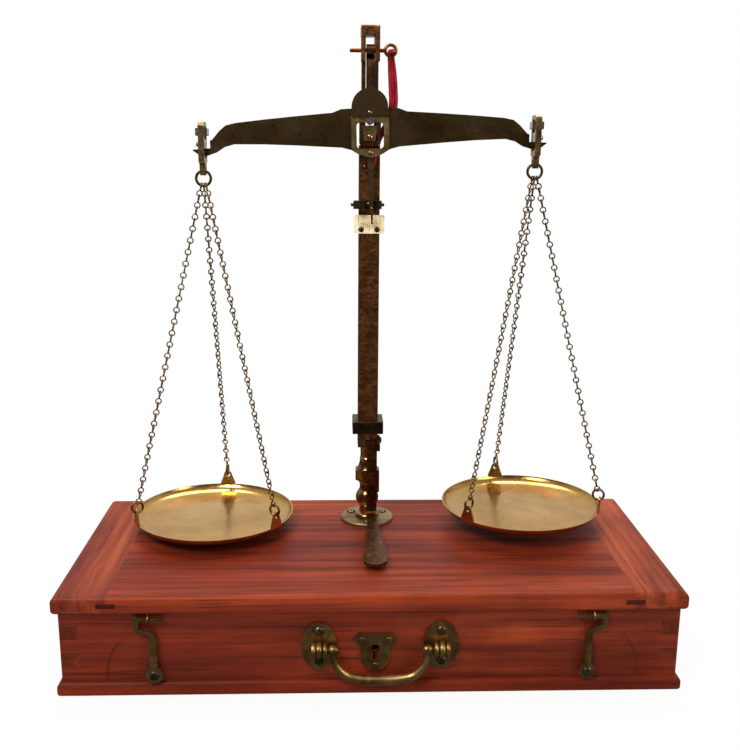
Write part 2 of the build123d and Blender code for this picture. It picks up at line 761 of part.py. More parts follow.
# Square tube with a slot for the rod's stud, and the collar round its foot
tube_front = pillar_y - tube_w / 2
stud_reach = pillar_y - stud_front
small_places = [Plane(origin=(sx * scale_screw_dx, tube_front - scale_t, lid_top + scale_low + scale_screw_dz),
                      x_dir=(1, 0, 0), z_dir=(0, -1, 0)) for sx in (-1, 1)]
small_places.append(Plane(origin=(0, tube_front - guard_back_t, lid_top + guard_low + guard_h / 2),
                          x_dir=(1, 0, 0), z_dir=(0, -1, 0)))
cord_screw = Plane(origin=(cord_screw_x, tube_front - cord_room, lid_top + cord_screw_z), x_dir=(1, 0, 0),
                   z_dir=(0, -1, 0))
with BuildPart() as pillar_tube:
    with BuildSketch(Plane(origin=(0, pillar_y, lid_top + tube_low))):
        Rectangle(tube_w, tube_w)
        Rectangle(tube_w - 2 * tube_wall, tube_w - 2 * tube_wall, mode=Mode.SUBTRACT)
    extrude(amount=tube_high - tube_low)
    block((-stud_w / 2 - free, tube_front, lid_top + tube_low),
          (stud_w / 2 + free, tube_front + tube_wall, lid_top + stud_low + stud_h + lift_travel + free),
          Mode.SUBTRACT)
    drill([Plane(origin=(p.origin.X, tube_front, p.origin.Z), z_dir=(0, -1, 0))
           for p in small_places + [cord_screw]], small_shank_r + slip, tube_wall)
save(pillar_tube.part, "pillar_tube")

with BuildPart() as tube_collar:
    with BuildSketch(Plane(origin=(0, pillar_y, lid_top + collar_low))):
        RectangleRounded(collar_w, collar_w, 0.8)
        Rectangle(tube_w + 2 * slip, tube_w + 2 * slip, mode=Mode.SUBTRACT)
    extrude(amount=collar_h)
    chamfer(tube_collar.faces().sort_by(Axis.Z)[-1].outer_wire().edges(), 0.5)
    block((-stud_w / 2 - free, stud_reach - free, lid_top + collar_low),
          (stud_w / 2 + free, tube_front, lid_top + stud_low + stud_h + lift_travel + free), Mode.SUBTRACT)
save(tube_collar.part, "tube_collar")

# Lifting rod: square, slotted at the top, with a stud that passes through the tube's slot
rod_w = tube_w - 2 * tube_wall - 2 * rod_gap
rod_foot = tube_low + slip
with BuildPart() as lift_rod:
    with BuildSketch(Plane(origin=(0, pillar_y, lid_top + rod_foot))):
        Rectangle(rod_w, rod_w)
    extrude(amount=rod_high - rod_foot)
    block((-rod_slot_w / 2, pillar_y - rod_w, lid_top + rod_slot_low),
          (rod_slot_w / 2, pillar_y + rod_w, lid_top + rod_high - slip), Mode.SUBTRACT)
    block((-stud_w / 2, stud_reach, lid_top + stud_low),
          (stud_w / 2, pillar_y, lid_top + stud_low + stud_h))
save(lift_rod.part, "lift_rod")

head_front = beam_y - head_reach
with BuildPart() as rod_head:
    block((-head_w / 2, head_front, lid_top + rod_high), (head_w / 2, pillar_y + rod_w / 2,
                                                          lid_top + rod_high + head_t))
    fillet(rod_head.edges().filter_by(Axis.X).sort_by(Axis.Z)[-2:], 1.6)
    for sx in (-1, 1):
        low_x, high_x = sorted((sx * head_w / 2, sx * (head_w / 2 - cheek_t)))
        block((low_x, head_front, lid_top + rod_high - cheek_drop),
              (high_x, pillar_y - rod_w / 2 - slip, lid_top + rod_high))
    with Locations((0, beam_y, lid_top + pin_z)):
        Cylinder(pin_r + slip, head_w * 2, rotation=(0, 90, 0), mode=Mode.SUBTRACT)
save(rod_head.part, "rod_head")

pin_eye_x = pin_right + pin_eye_r
with BuildPart() as suspension_pin:
    with Locations(((pin_left + pin_right) / 2, beam_y, lid_top + pin_z)):
        Cylinder(pin_r, pin_right - pin_left, rotation=(0, 90, 0))
    chamfer(suspension_pin.edges().sort_by(Axis.X)[0], pin_r / 3)
    add(ring((pin_eye_x, beam_y, lid_top + pin_z), (0, 1, 0), pin_eye_r, pin_eye_wire_r))
save(suspension_pin.part, "suspension_pin")

# Lever
strap_back = pillar_y - column_max_r - lever_gap
strap_front = strap_back - lever_t
strap_right = lever_x + lever_w / 2
ear_x = tube_w / 2 + ear_gap
with BuildPart() as lever:
    with BuildSketch(Plane(origin=(lever_x - paddle_w / 2, 0, 0), x_dir=(0, 1, 0), z_dir=(1, 0, 0))):
        with BuildLine():
            FilletPolyline((strap_front + lever_t / 2, lid_top + lever_top),
                           (strap_front + lever_t / 2, lid_top + lever_foot),
                           (paddle_end_y, lid_top + paddle_end_z), radius=lever_bend)
        trace(line_width=lever_t)
    extrude(amount=paddle_w)
    with BuildSketch(Plane(origin=(lever_x, 0, 0))):
        with BuildLine():
            Polyline((-lever_w / 2, paddle_root_y), (-lever_w / 2, strap_back), (lever_w / 2, strap_back),
                     (lever_w / 2, paddle_root_y))
            Spline((lever_w / 2, paddle_root_y), (paddle_w / 2, paddle_round_y), tangents=((0, -1), (0, -1)))
            ThreePointArc((paddle_w / 2, paddle_round_y), (0, paddle_end_y), (-paddle_w / 2, paddle_round_y))
            Spline((-paddle_w / 2, paddle_round_y), (-lever_w / 2, paddle_root_y), tangents=((0, 1), (0, 1)))
        make_face()
    extrude(amount=lid_top + lever_top, mode=Mode.INTERSECT)
    block((-stud_w / 2, strap_front, lid_top + lever_top - lever_t),
          (strap_right, strap_back + toe_reach, lid_top + toe_top))
    block((strap_right, strap_front, lid_top + lever_top - ear_h), (ear_x + ear_t, strap_back, lid_top + lever_top))
    block((ear_x, strap_front, lid_top + lever_top - ear_h), (ear_x + ear_t, pivot_y, lid_top + lever_top))
    with Locations((ear_x + ear_t / 2, pivot_y, pivot_height)):
        Cylinder(ear_back, ear_t, rotation=(0, 90, 0))
        Cylinder(pivot_r + slip, ear_t, rotation=(0, 90, 0), mode=Mode.SUBTRACT)
    block((strap_right, strap_front, lid_top + flange_lug_low),
          (strap_right + lever_t, strap_front + flange_lug_d, lid_top + flange_lug_high))
save(lever.part, "lever")

pivot_place = Plane(origin=(ear_x + ear_t + slip, pivot_y, pivot_height), x_dir=(0, 1, 0), z_dir=(1, 0, 0))
lever_pin = slotted_screw(pivot_head_r, pivot_head_t, pivot_r, pivot_bite)
save(pivot_place.location * lever_pin, "lever_pin")

# Guard round the pointer, scale plate and their screws
guard_front = tube_front - guard_reach
guard_left = -guard_gap / 2 - guard_left_w
guard_right = guard_gap / 2 + guard_right_w
with BuildPart() as pointer_guard:
    block((guard_left, tube_front - guard_back_t, lid_top + guard_low),
          (guard_right, tube_front - slip, lid_top + guard_low + guard_h))
    block((guard_left, guard_front, lid_top + guard_low),
          (-guard_gap / 2, tube_front - slip, lid_top + guard_low + guard_h))
    block((guard_gap / 2, guard_front, lid_top + guard_low),
          (guard_right, tube_front - slip, lid_top + guard_low + guard_h))
    fillet(pointer_guard.edges().filter_by(Axis.Z).group_by(Axis.Y)[0], guard_round)
    for side_x, way in ((guard_left, -1), (guard_right, 1)):
        with Locations((side_x + way * stud_tip_l / 2, tube_front - guard_reach / 2, lid_top + guard_low + guard_h / 2)):
            Cylinder(stud_tip_r, stud_tip_l, rotation=(0, 90, 0))
    drill([small_places[2]], small_shank_r + slip, guard_back_t)
save(pointer_guard.part, "pointer_guard")

with BuildPart() as scale_plate:
    block((-scale_w / 2, tube_front - scale_t, lid_top + scale_low),
          (scale_w / 2, tube_front - slip, lid_top + scale_low + scale_h))
    fillet(scale_plate.edges().filter_by(Axis.Y), scale_round)
    drill(small_places[:2], small_shank_r + slip, scale_t)
save(scale_plate.part, "scale_plate")

small_screw = slotted_screw(small_head_r, small_head_h, small_shank_r, scale_t + small_bite)
cord_fixing = slotted_screw(small_head_r, small_head_h, small_shank_r, cord_room + small_bite)
tube_screws = Compound(children=[place.location * small_screw for place in small_places]
                       + [cord_screw.location * cord_fixing])
save(tube_screws, "tube_screws")

# Hook that carries the beam: over the pin, down between the beam's cheeks, round the bearing block
strap_turn = pin_r + slip + strap_t / 2
edge_height = lid_top + edge_z
with BuildPart() as suspension_hook:
    with BuildSketch(Plane(origin=(-strap_w / 2, 0, 0), x_dir=(0, 1, 0), z_dir=(1, 0, 0))):
        with BuildLine():
            Line((beam_y - strap_turn, lid_top + pin_z - strap_lip), (beam_y - strap_turn, lid_top + pin_z))
            ThreePointArc((beam_y - strap_turn, lid_top + pin_z), (beam_y, lid_top + pin_z + strap_turn),
                          (beam_y + strap_turn, lid_top + pin_z))
            Spline((beam_y + strap_turn, lid_top + pin_z), (beam_y, lid_top + pin_z - strap_sweep),
                   tangents=((0, -1), (0, -1)))
            Line((beam_y, lid_top + pin_z - strap_sweep), (beam_y, edge_height + loop_top - loop_wall / 2))
        trace(line_width=strap_t)
    extrude(amount=strap_w)
    with BuildSketch(Plane(origin=(0, beam_y + strap_t / 2, edge_height), x_dir=(1, 0, 0), z_dir=(0, -1, 0))):
        with Locations((0, (loop_top + loop_low) / 2)):
            RectangleRounded(loop_half_w * 2, loop_top - loop_low, loop_wall)
        with Locations((0, (loop_top - loop_wall + loop_low + loop_bar) / 2)):
            Rectangle((loop_half_w - loop_wall) * 2, loop_top - loop_wall - loop_low - loop_bar, mode=Mode.SUBTRACT)
    extrude(amount=strap_t)
save(suspension_hook.part, "suspension_hook")

block_low = loop_low + loop_bar + knife_fit
with BuildPart() as bearing_block:
    with BuildSketch(Plane(origin=(0, beam_y + block_t / 2, edge_height), x_dir=(1, 0, 0), z_dir=(0, -1, 0))):
        with BuildLine():
            Polyline((-block_top_w / 2, -block_gap), (block_top_w / 2, -block_gap), (block_low_w / 2, block_low),
                     (-block_low_w / 2, block_low), (-block_top_w / 2, -block_gap))
        make_face()
    extrude(amount=block_t)
    block_front = Plane(origin=(0, beam_y - block_t / 2, edge_height + block_screw_z), x_dir=(1, 0, 0),
                        z_dir=(0, -1, 0))
    drill([block_front], small_shank_r + slip, small_bite * 2)
save(bearing_block.part, "bearing_block")
bearing_screw = slotted_screw(block_screw_r, small_head_h, small_shank_r, small_bite * 2 - slip)
save(block_front.location * bearing_screw, "bearing_screw")

# Beam and the pieces that rock with it, drawn level about the knife edge and then tilted
tilt_plane = Plane(origin=(0, beam_y, edge_height), x_dir=(cos(radians(rest_tilt)), 0, sin(radians(rest_tilt))),
                   z_dir=(-sin(radians(rest_tilt)), 0, cos(radians(rest_tilt))))
upper_line = [(centre_w / 2, shoulder_top)] + [(arm_l * part, height) for part, height in upper_profile]
upper_line.append((lip_start, lip_step))
lower_line = [(lip_end, lip_top - lip_slope * 2)] + [(arm_l * part, height) for part, height in lower_profile]
lower_line += [(centre_w / 2, shoulder_low), (centre_w / 3, bowl_turn)]


def cheek_outline(shift):
    """Face of a centre cheek: bowl below, dome above, seen from the front."""
    with BuildSketch(Plane(origin=(0, shift, 0), x_dir=(1, 0, 0), z_dir=(0, -1, 0))) as outline:
        with BuildLine():
            Polyline((-centre_w / 2, bowl_side), (-centre_w / 2, dome_low), (-dome_r, dome_low),
                     (-dome_r, dome_top - dome_r))
            ThreePointArc((-dome_r, dome_top - dome_r), (0, dome_top), (dome_r, dome_top - dome_r))
            Polyline((dome_r, dome_top - dome_r), (dome_r, dome_low), (centre_w / 2, dome_low),
                     (centre_w / 2, bowl_side))
            ThreePointArc((centre_w / 2, bowl_side), (0, bowl_low), (-centre_w / 2, bowl_side))
        make_face()
        with Locations((0, (window_top + window_low) / 2)):
            RectangleRounded(window_w, window_top - window_low, window_round, mode=Mode.SUBTRACT)
        with Locations((0, knife_centre)):
            Circle(knife_r + knife_fit, mode=Mode.SUBTRACT)
    return outline.sketch


upper_screw = Plane(origin=(0, -beam_t / 2 - cheek_plate_t - dome_t, cheek_screw_top), x_dir=(1, 0, 0),
                    z_dir=(0, -1, 0))
lower_screw = Plane(origin=(0, -beam_t / 2 - cheek_plate_t, cheek_screw_low), x_dir=(1, 0, 0), z_dir=(0, -1, 0))
with BuildPart() as beam:
    with BuildSketch(Plane(origin=(0, beam_t / 2, 0), x_dir=(1, 0, 0), z_dir=(0, -1, 0))):
        with BuildLine():
            Polyline((0, window_low), (void_half_w, window_low), (void_half_w, upper_line[0][1]), *upper_line,
                     (lip_start, lip_top), (lip_end, lip_top - lip_slope), *lower_line)
            ThreePointArc(lower_line[-1], (lower_line[-1][0] / 2, bowl_low * bowl_ease), (0, bowl_low))
            Line((0, bowl_low), (0, window_low))
        make_face()
        mirror(about=Plane.YZ)
    extrude(amount=beam_t)
    drill([lower_screw], small_shank_r + slip, cheek_plate_t + beam_t + cheek_plate_t)
save(tilt_plane.location * beam.part, "beam")

with BuildPart() as cheek_front:
    add(cheek_outline(-beam_t / 2 - slip))
    extrude(amount=cheek_plate_t - slip, dir=(0, -1, 0))
    with BuildSketch(Plane(origin=(0, -beam_t / 2 - cheek_plate_t, 0), x_dir=(1, 0, 0), z_dir=(0, -1, 0))):
        with BuildLine():
            Polyline((-dome_r, dome_top - dome_r), (-dome_r, dome_low), (dome_r, dome_low), (dome_r, dome_top - dome_r))
            ThreePointArc((dome_r, dome_top - dome_r), (0, dome_top), (-dome_r, dome_top - dome_r))
        make_face()
        with Locations((0, knife_centre)):
            Circle(knife_r + free, mode=Mode.SUBTRACT)
    extrude(amount=dome_t)
    drill([lower_screw, upper_screw], small_shank_r + slip, cheek_plate_t + dome_t)
save(tilt_plane.location * cheek_front.part, "beam_cheek_front")

with BuildPart() as cheek_rear:
    add(cheek_outline(beam_t / 2 + slip))
    extrude(amount=cheek_plate_t - slip, dir=(0, 1, 0))
save(tilt_plane.location * cheek_rear.part, "beam_cheek_rear")

upper_piece = slotted_screw(cheek_screw_r, small_head_h, small_shank_r, cheek_plate_t + dome_t - slip)
lower_piece = slotted_screw(cheek_screw_r, small_head_h, small_shank_r, cheek_plate_t + beam_t)
cheek_screws = Compound(children=[tilt_plane.location * (upper_screw.location * upper_piece),
                                  tilt_plane.location * (lower_screw.location * lower_piece)])
save(cheek_screws, "cheek_screws")

with BuildPart() as centre_knife:
    with BuildSketch(Plane(origin=(0, knife_l / 2, 0), x_dir=(1, 0, 0), z_dir=(0, -1, 0))):
        with Locations((0, knife_centre)):
            Circle(knife_r)
        with BuildLine():
            Polyline((0, 0), (knife_side, knife_side), (-knife_side, knife_side), (0, 0))
        make_face()
    extrude(amount=knife_l)
save(tilt_plane.location * centre_knife.part, "centre_knife")

with BuildPart() as pointer:
    with BuildSketch(Plane(origin=(0, pointer_t / 2, 0), x_dir=(1, 0, 0), z_dir=(0, -1, 0))):
        with BuildLine():
            Polyline((-pointer_top_w / 2, bowl_low - slip), (pointer_top_w / 2, bowl_low - slip),
                     (pointer_low_w / 2, pointer_knee), (pointer_low_w / 4, pointer_tip),
                     (-pointer_low_w / 4, pointer_tip), (-pointer_low_w / 2, pointer_knee),
                     (-pointer_top_w / 2, bowl_low - slip))
        make_face()
    extrude(amount=pointer_t)
    with Locations((0, 0, pointer_knee)):
        Sphere(pointer_ball_r)
save(tilt_plane.location * pointer.part, "pointer")

with BuildPart() as end_knife:
    with BuildSketch(Plane(origin=(0, end_knife_l / 2, -end_drop), x_dir=(1, 0, 0), z_dir=(0, -1, 0))):
        with BuildLine():
            Polyline((0, 0), (end_knife_w / 2, -end_knife_w * 0.7), (end_knife_w / 2, -end_knife_foot),
                     (-end_knife_w / 2, -end_knife_foot), (-end_knife_w / 2, -end_knife_w * 0.7), (0, 0))
        make_face()
    extrude(amount=end_knife_l)
    with Locations((0, 0, end_screw_z)):
        Cylinder(small_shank_r + slip, end_knife_w * 2, rotation=(0, 90, 0), mode=Mode.SUBTRACT)
end_screw = slotted_screw(end_screw_r, end_screw_l, small_shank_r, end_knife_w - slip)
knife_children = []
screw_children = []
for sx in (-1, 1):
    knife_children.append(tilt_plane.location * Location((sx * arm_l, 0, 0)) * end_knife.part)
    screw_place = Plane(origin=(sx * (arm_l + end_knife_w / 2 + slip), 0, end_screw_z), x_dir=(0, 1, 0),
                        z_dir=(sx, 0, 0))
    screw_children.append(tilt_plane.location * (screw_place.location * end_screw))
save(Compound(children=knife_children), "end_knives")
save(Compound(children=screw_children), "knife_screws")

# Stirrup, drawn about the end knife edge
ring_top = -ring_drop + ring_r
tail_hole_z = ring_top + tail_hole_r - ring_wire_r - ring_room
with BuildPart() as stirrup:
    with BuildSketch(Plane(origin=(-stirrup_w / 2, 0, 0), x_dir=(0, 1, 0), z_dir=(1, 0, 0))):
        with Locations((0, (stirrup_top + stirrup_low) / 2)):
            RectangleRounded(stirrup_half_d * 2, stirrup_top - stirrup_low, stirrup_bar)
        with Locations((0, (stirrup_top - stirrup_bar + stirrup_low + stirrup_foot) / 2)):
            Rectangle((stirrup_half_d - stirrup_bar) * 2, stirrup_top - stirrup_bar - stirrup_low - stirrup_foot,
                      mode=Mode.SUBTRACT)
        with Locations((0, (stirrup_low + tail_hole_z) / 2)):
            Rectangle(tail_d, stirrup_low - tail_hole_z + slip)
        with Locations((0, tail_hole_z)):
            Circle(tail_d / 2)
    extrude(amount=stirrup_w)
    with Locations((0, 0, tail_hole_z)):
        Cylinder(tail_hole_r, stirrup_w, rotation=(0, 90, 0), mode=Mode.SUBTRACT)
    hole_rims = stirrup.edges().filter_by(GeomType.CIRCLE).filter_by(lambda e: abs(e.radius - tail_hole_r) < slip / 2)
    chamfer(hole_rims, tail_flare)

with BuildPart() as bearing:
    block((-bearing_w / 2, -stirrup_half_d + stirrup_bar + knife_fit, block_gap),
          (bearing_w / 2, stirrup_half_d - stirrup_bar - knife_fit, block_gap + bearing_h))
    chamfer(bearing.edges().filter_by(Axis.Y), bearing_h / 12)

# Pan with its three lugs, drawn about the centre of its rim
rim_r = pan_d / 2


def pan_piece(first_turn):
    """Shallow dish with three upright lugs, the first one at the given turn."""
    with BuildPart() as pan:
        with BuildSketch(Plane.XZ):
            with BuildLine():
                Polyline((0, -pan_depth), (pan_flat_r, -pan_depth))
                Spline((pan_flat_r, -pan_depth), (rim_r, 0), tangents=((1, 0), (0.35, 1)))
                Polyline((rim_r, 0), (rim_r - pan_wall, 0))
                Spline((rim_r - pan_wall, 0), (pan_flat_r, pan_wall - pan_depth), tangents=((-0.35, -1), (-1, 0)))
                Polyline((pan_flat_r, pan_wall - pan_depth), (0, pan_wall - pan_depth), (0, -pan_depth))
            make_face()
        revolve(axis=Axis.Z)
        for step in range(3):
            turn = radians(first_turn + step * 120)
            lug_plane = Plane(origin=((rim_r - lug_t) * cos(turn), (rim_r - lug_t) * sin(turn), 0),
                              x_dir=(-sin(turn), cos(turn), 0), z_dir=(cos(turn), sin(turn), 0))
            with BuildSketch(lug_plane):
                with BuildLine():
                    Polyline((-lug_w / 2, -lug_t), (lug_w / 2, -lug_t), (lug_w / 2, lug_t),
                             (lug_top_r, lug_h - lug_top_r))
                    ThreePointArc((lug_top_r, lug_h - lug_top_r), (0, lug_h), (-lug_top_r, lug_h - lug_top_r))
                    Polyline((-lug_top_r, lug_h - lug_top_r), (-lug_w / 2, lug_t), (-lug_w / 2, -lug_t))
                make_face()
                with Locations((0, lug_h - lug_top_r)):
                    Circle(lug_hole_r, mode=Mode.SUBTRACT)
            extrude(amount=lug_t)
    return pan.part


def unit(vector):
    """The same direction with length one."""
    return vector / vector.length


# One chain link: two rings at right angles on a short neck, built once per side at its pitch
def link_piece(length):
    """A link along -Z from the top ring's wire, the first ring facing along X."""
    with BuildPart() as link:
        add(ring((0, 0, -chain_loop_r), (1, 0, 0), chain_loop_r, chain_wire_r))
        add(ring((0, 0, chain_loop_r - length), (0, 1, 0), chain_loop_r, chain_wire_r))
        with Locations((0, 0, -length / 2)):
            Cylinder(neck_wire_r, length - chain_loop_r * 4 + chain_wire_r)
    return link.part


def hanging_set(side, end_x, end_height, first_turn):
    """Top ring, chains, pan rings and pan under one end of the beam."""
    ring_centre = Vector(end_x, beam_y, end_height - ring_drop)
    pan_centre = Vector(end_x, beam_y, end_height - ring_drop - pan_drop)
    save(ring(ring_centre, (0, 1, 0), ring_r, ring_wire_r), f"top_ring_{side}")
    save(Location(pan_centre) * pan_piece(first_turn), f"pan_{side}")
    links = []
    small_rings = []
    for step in range(3):
        turn_degrees = (first_turn + step * 120) % 360
        outward = Vector(cos(radians(turn_degrees)), sin(radians(turn_degrees)), 0)
        fan = radians(chain_fan * (0 if 45 < turn_degrees < 135 else (-1 if outward.X < 0 else 1)))
        start_way = Vector(sin(fan), 0, -cos(fan))
        start = ring_centre + start_way * (ring_r - ring_wire_r - chain_wire_r - first_gap)
        hole = pan_centre + outward * (rim_r - lug_t / 2) + Vector(0, 0, lug_h - lug_top_r)
        pull = start - hole
        across = outward.cross(Vector(0, 0, 1))
        lift_way = unit(pull - across * pull.dot(across))
        ring_middle = hole + lift_way * (lug_hole_r - pan_ring_wire_r - lug_room + pan_ring_r)
        small_rings.append(ring(ring_middle, across, pan_ring_r, pan_ring_wire_r))
        finish = ring_middle + lift_way * (pan_ring_r - pan_ring_wire_r - chain_wire_r - link_gap)
        way = unit(finish - start)
        lap = 2 * chain_wire_r + link_gap
        pitch = ((finish - start).length - lap) / chain_links
        link = link_piece(pitch + lap)
        first_normal = unit(way.cross(Vector(0, 1, 0)))
        last_normal = unit(way.cross(across).cross(way)).cross(way)
        last_first = unit(way.cross(last_normal))
        roll = first_normal.get_signed_angle(last_first, way)
        if roll > 90:
            roll -= 180
        if roll < -90:
            roll += 180
        for number in range(chain_links):
            base = Plane(origin=start + way * (pitch * number), x_dir=first_normal, z_dir=-way)
            links.append(base.location * Location((0, 0, 0), (0, 0, -roll * number / (chain_links - 1))) * link)
    save(Compound(children=links), f"chains_{side}")
    save(Compound(children=small_rings), f"pan_rings_{side}")


for side, sx, first_turn in (("left", -1, left_lug_turn), ("right", 1, right_lug_turn)):
    end_point = tilt_plane.from_local_coords(Vector(sx * arm_l, 0, -end_drop))
    print("end knife", side, tuple(round(v, 3) for v in end_point))
    place = Location(end_point)
    save(place * stirrup.part, f"stirrup_{side}")
    save(place * bearing.part, f"stirrup_bearing_{side}")
    hanging_set(side, end_point.X, end_point.Z, first_turn)

# Red cord: one spline-like run of straight pieces and arcs from the tube's screw to the pin's eye
cord_back_y = tube_front - cord_d / 2 - cord_clear
cord_points = [(cord_screw_x - cord_d * 2, cord_back_y, cord_screw_z - small_shank_r - cord_d / 2 - slip),
               (cord_drop_x, cord_back_y, cord_screw_z - small_shank_r - cord_d / 2 - slip),
               (cord_drop_x + cord_d / 2, cord_back_y, tube_high + cord_d),
               (cord_side_x, cord_back_y, edge_z + dome_low),
               (cord_side_x - cord_d / 2, cord_back_y, edge_z + dome_top + cord_d * 3),
               (pin_eye_x, cord_back_y - cord_d / 4, pin_z),
               (pin_eye_x, beam_y - cord_d * 2, pin_z - cord_d / 4)]
cord_points = [(x, y, lid_top + z) for x, y, z in cord_points]
cord_spots = [Vector(*point) for point in cord_points]
cord_radii = []
for before, corner, after in zip(cord_spots, cord_spots[1:], cord_spots[2:]):
    turn = radians((corner - before).get_angle(after - corner))
    run = min((corner - before).length, (after - corner).length)
    cord_radii.append(arc_share * run / tan(turn / 2))
cord_radii[-1] = cord_turn_r
with BuildPart() as red_cord:
    with BuildLine() as cord_line:
        FilletPolyline(*cord_points, radius=cord_radii)
    cord_path = cord_line.wires()[0]
    with BuildSketch(Plane(origin=cord_path @ 0, z_dir=cord_path % 0)):
        Circle(cord_d / 2)
    sweep(path=cord_path)
save(red_cord.part, "red_cord")
print("cord bend radii", [round(radius, 1) for radius in cord_radii], "length", round(cord_path.length, 1), "volume",
      round(red_cord.part.volume, 1), "section times length", round(pi * cord_d ** 2 / 4 * cord_path.length, 1))
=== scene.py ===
import json
from math import cos, pi, radians, sin

import bpy
import numpy as np
from mathutils import Matrix, Vector


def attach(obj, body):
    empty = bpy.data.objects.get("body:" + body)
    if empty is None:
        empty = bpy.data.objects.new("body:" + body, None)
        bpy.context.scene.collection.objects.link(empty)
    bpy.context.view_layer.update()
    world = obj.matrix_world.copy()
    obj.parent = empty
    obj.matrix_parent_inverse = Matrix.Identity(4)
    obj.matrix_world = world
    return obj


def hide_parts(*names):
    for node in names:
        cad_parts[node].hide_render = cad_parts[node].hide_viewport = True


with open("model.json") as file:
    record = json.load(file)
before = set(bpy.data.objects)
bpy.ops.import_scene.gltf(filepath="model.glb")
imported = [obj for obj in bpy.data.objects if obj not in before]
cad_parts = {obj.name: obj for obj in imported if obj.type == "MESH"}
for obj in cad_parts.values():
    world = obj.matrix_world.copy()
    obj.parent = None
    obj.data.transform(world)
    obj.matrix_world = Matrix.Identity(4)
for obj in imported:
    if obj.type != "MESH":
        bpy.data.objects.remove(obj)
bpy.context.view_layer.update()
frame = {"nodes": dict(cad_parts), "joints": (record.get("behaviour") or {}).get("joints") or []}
nodes = frame["nodes"]
pivots = {joint["name"]: joint["pos_m"] for joint in frame["joints"] if "pos_m" in joint}
print("frame loaded")

# camera: solved from the lid's corners, metres
view = dict(place=(-0.01917, -0.57648, 0.30913), yaw=0.0333, pitch=0.2319, roll=0.007, lens=47.17)


def placeCamera(s):
    # forward from yaw and pitch, then the right and up axes turned by the roll
    ahead = Vector((sin(s["yaw"]) * cos(s["pitch"]), cos(s["yaw"]) * cos(s["pitch"]), -sin(s["pitch"])))
    right = Vector((cos(s["yaw"]), -sin(s["yaw"]), 0))
    up = right.cross(ahead)
    right2 = right * cos(s["roll"]) + up * sin(s["roll"])
    up2 = up * cos(s["roll"]) - right * sin(s["roll"])
    data = bpy.data.cameras.new("camera")
    data.sensor_fit = "HORIZONTAL"
    data.sensor_width = 36
    data.lens = s["lens"]
    data.clip_start = 0.01
    cam = bpy.data.objects.new("camera", data)
    cam.matrix_world = Matrix((
        (right2.x, up2.x, -ahead.x, s["place"][0]),
        (right2.y, up2.y, -ahead.y, s["place"][1]),
        (right2.z, up2.z, -ahead.z, s["place"][2]),
        (0, 0, 0, 1)))
    bpy.context.collection.objects.link(cam)
    bpy.context.scene.camera = cam


placeCamera(view)
bpy.context.scene.view_settings.view_transform = "Standard"
print("camera placed")


# material helpers
def newMaterial(name):
    mat = bpy.data.materials.new(name)
    mat.use_nodes = True
    tree = mat.node_tree
    return mat, tree, tree.nodes["Principled BSDF"]


def wire(tree, a, b):
    tree.links.new(a, b)


def coords(tree, scale=(1, 1, 1)):
    # object coordinates, stretched by the given scale
    tex = tree.nodes.new("ShaderNodeTexCoord")
    mapping = tree.nodes.new("ShaderNodeMapping")
    mapping.inputs["Scale"].default_value = scale
    wire(tree, tex.outputs["Object"], mapping.inputs["Vector"])
    return mapping.outputs["Vector"]


def noise(tree, vector, scale, detail=5.0, rough=0.55, twist=0.0):
    n = tree.nodes.new("ShaderNodeTexNoise")
    n.inputs["Scale"].default_value = scale
    n.inputs["Detail"].default_value = detail
    n.inputs["Roughness"].default_value = rough
    n.inputs["Distortion"].default_value = twist
    wire(tree, vector, n.inputs["Vector"])
    return n.outputs["Fac"]


def ramp(tree, fac, stops):
    r = tree.nodes.new("ShaderNodeValToRGB")
    elements = r.color_ramp.elements
    while len(elements) < len(stops):
        elements.new(0.5)
    for e, (at, colour) in zip(elements, stops):
        e.position = at
        e.color = (*colour, 1) if len(colour) == 3 else colour
    wire(tree, fac, r.inputs["Fac"])
    return r.outputs["Color"]


def spread(tree, fac, low, high, fromLow=0.3, fromHigh=0.7):
    m = tree.nodes.new("ShaderNodeMapRange")
    m.inputs["From Min"].default_value = fromLow
    m.inputs["From Max"].default_value = fromHigh
    m.inputs["To Min"].default_value = low
    m.inputs["To Max"].default_value = high
    wire(tree, fac, m.inputs["Value"])
    return m.outputs["Result"]


def blendColours(tree, fac, a, b, kind="MIX"):
    m = tree.nodes.new("ShaderNodeMix")
    m.data_type = "RGBA"
    m.blend_type = kind
    wire(tree, fac, m.inputs["Factor"])
    for socket, value in ((m.inputs[6], a), (m.inputs[7], b)):
        if isinstance(value, tuple):
            socket.default_value = (*value, 1)
        else:
            wire(tree, value, socket)
    return m.outputs[2]


def bump(tree, shader, height, strength, distance=0.0004):
    b = tree.nodes.new("ShaderNodeBump")
    b.inputs["Strength"].default_value = strength
    b.inputs["Distance"].default_value = distance
    wire(tree, height, b.inputs["Height"])
    wire(tree, b.outputs["Normal"], shader.inputs["Normal"])


def maths(tree, kind, a, b=None):
    m = tree.nodes.new("ShaderNodeMath")
    m.operation = kind
    for socket, value in zip(m.inputs, (a, b)):
        if value is None:
            continue
        if isinstance(value, (int, float)):
            socket.default_value = value
        else:
            wire(tree, value, socket)
    return m.outputs[0]


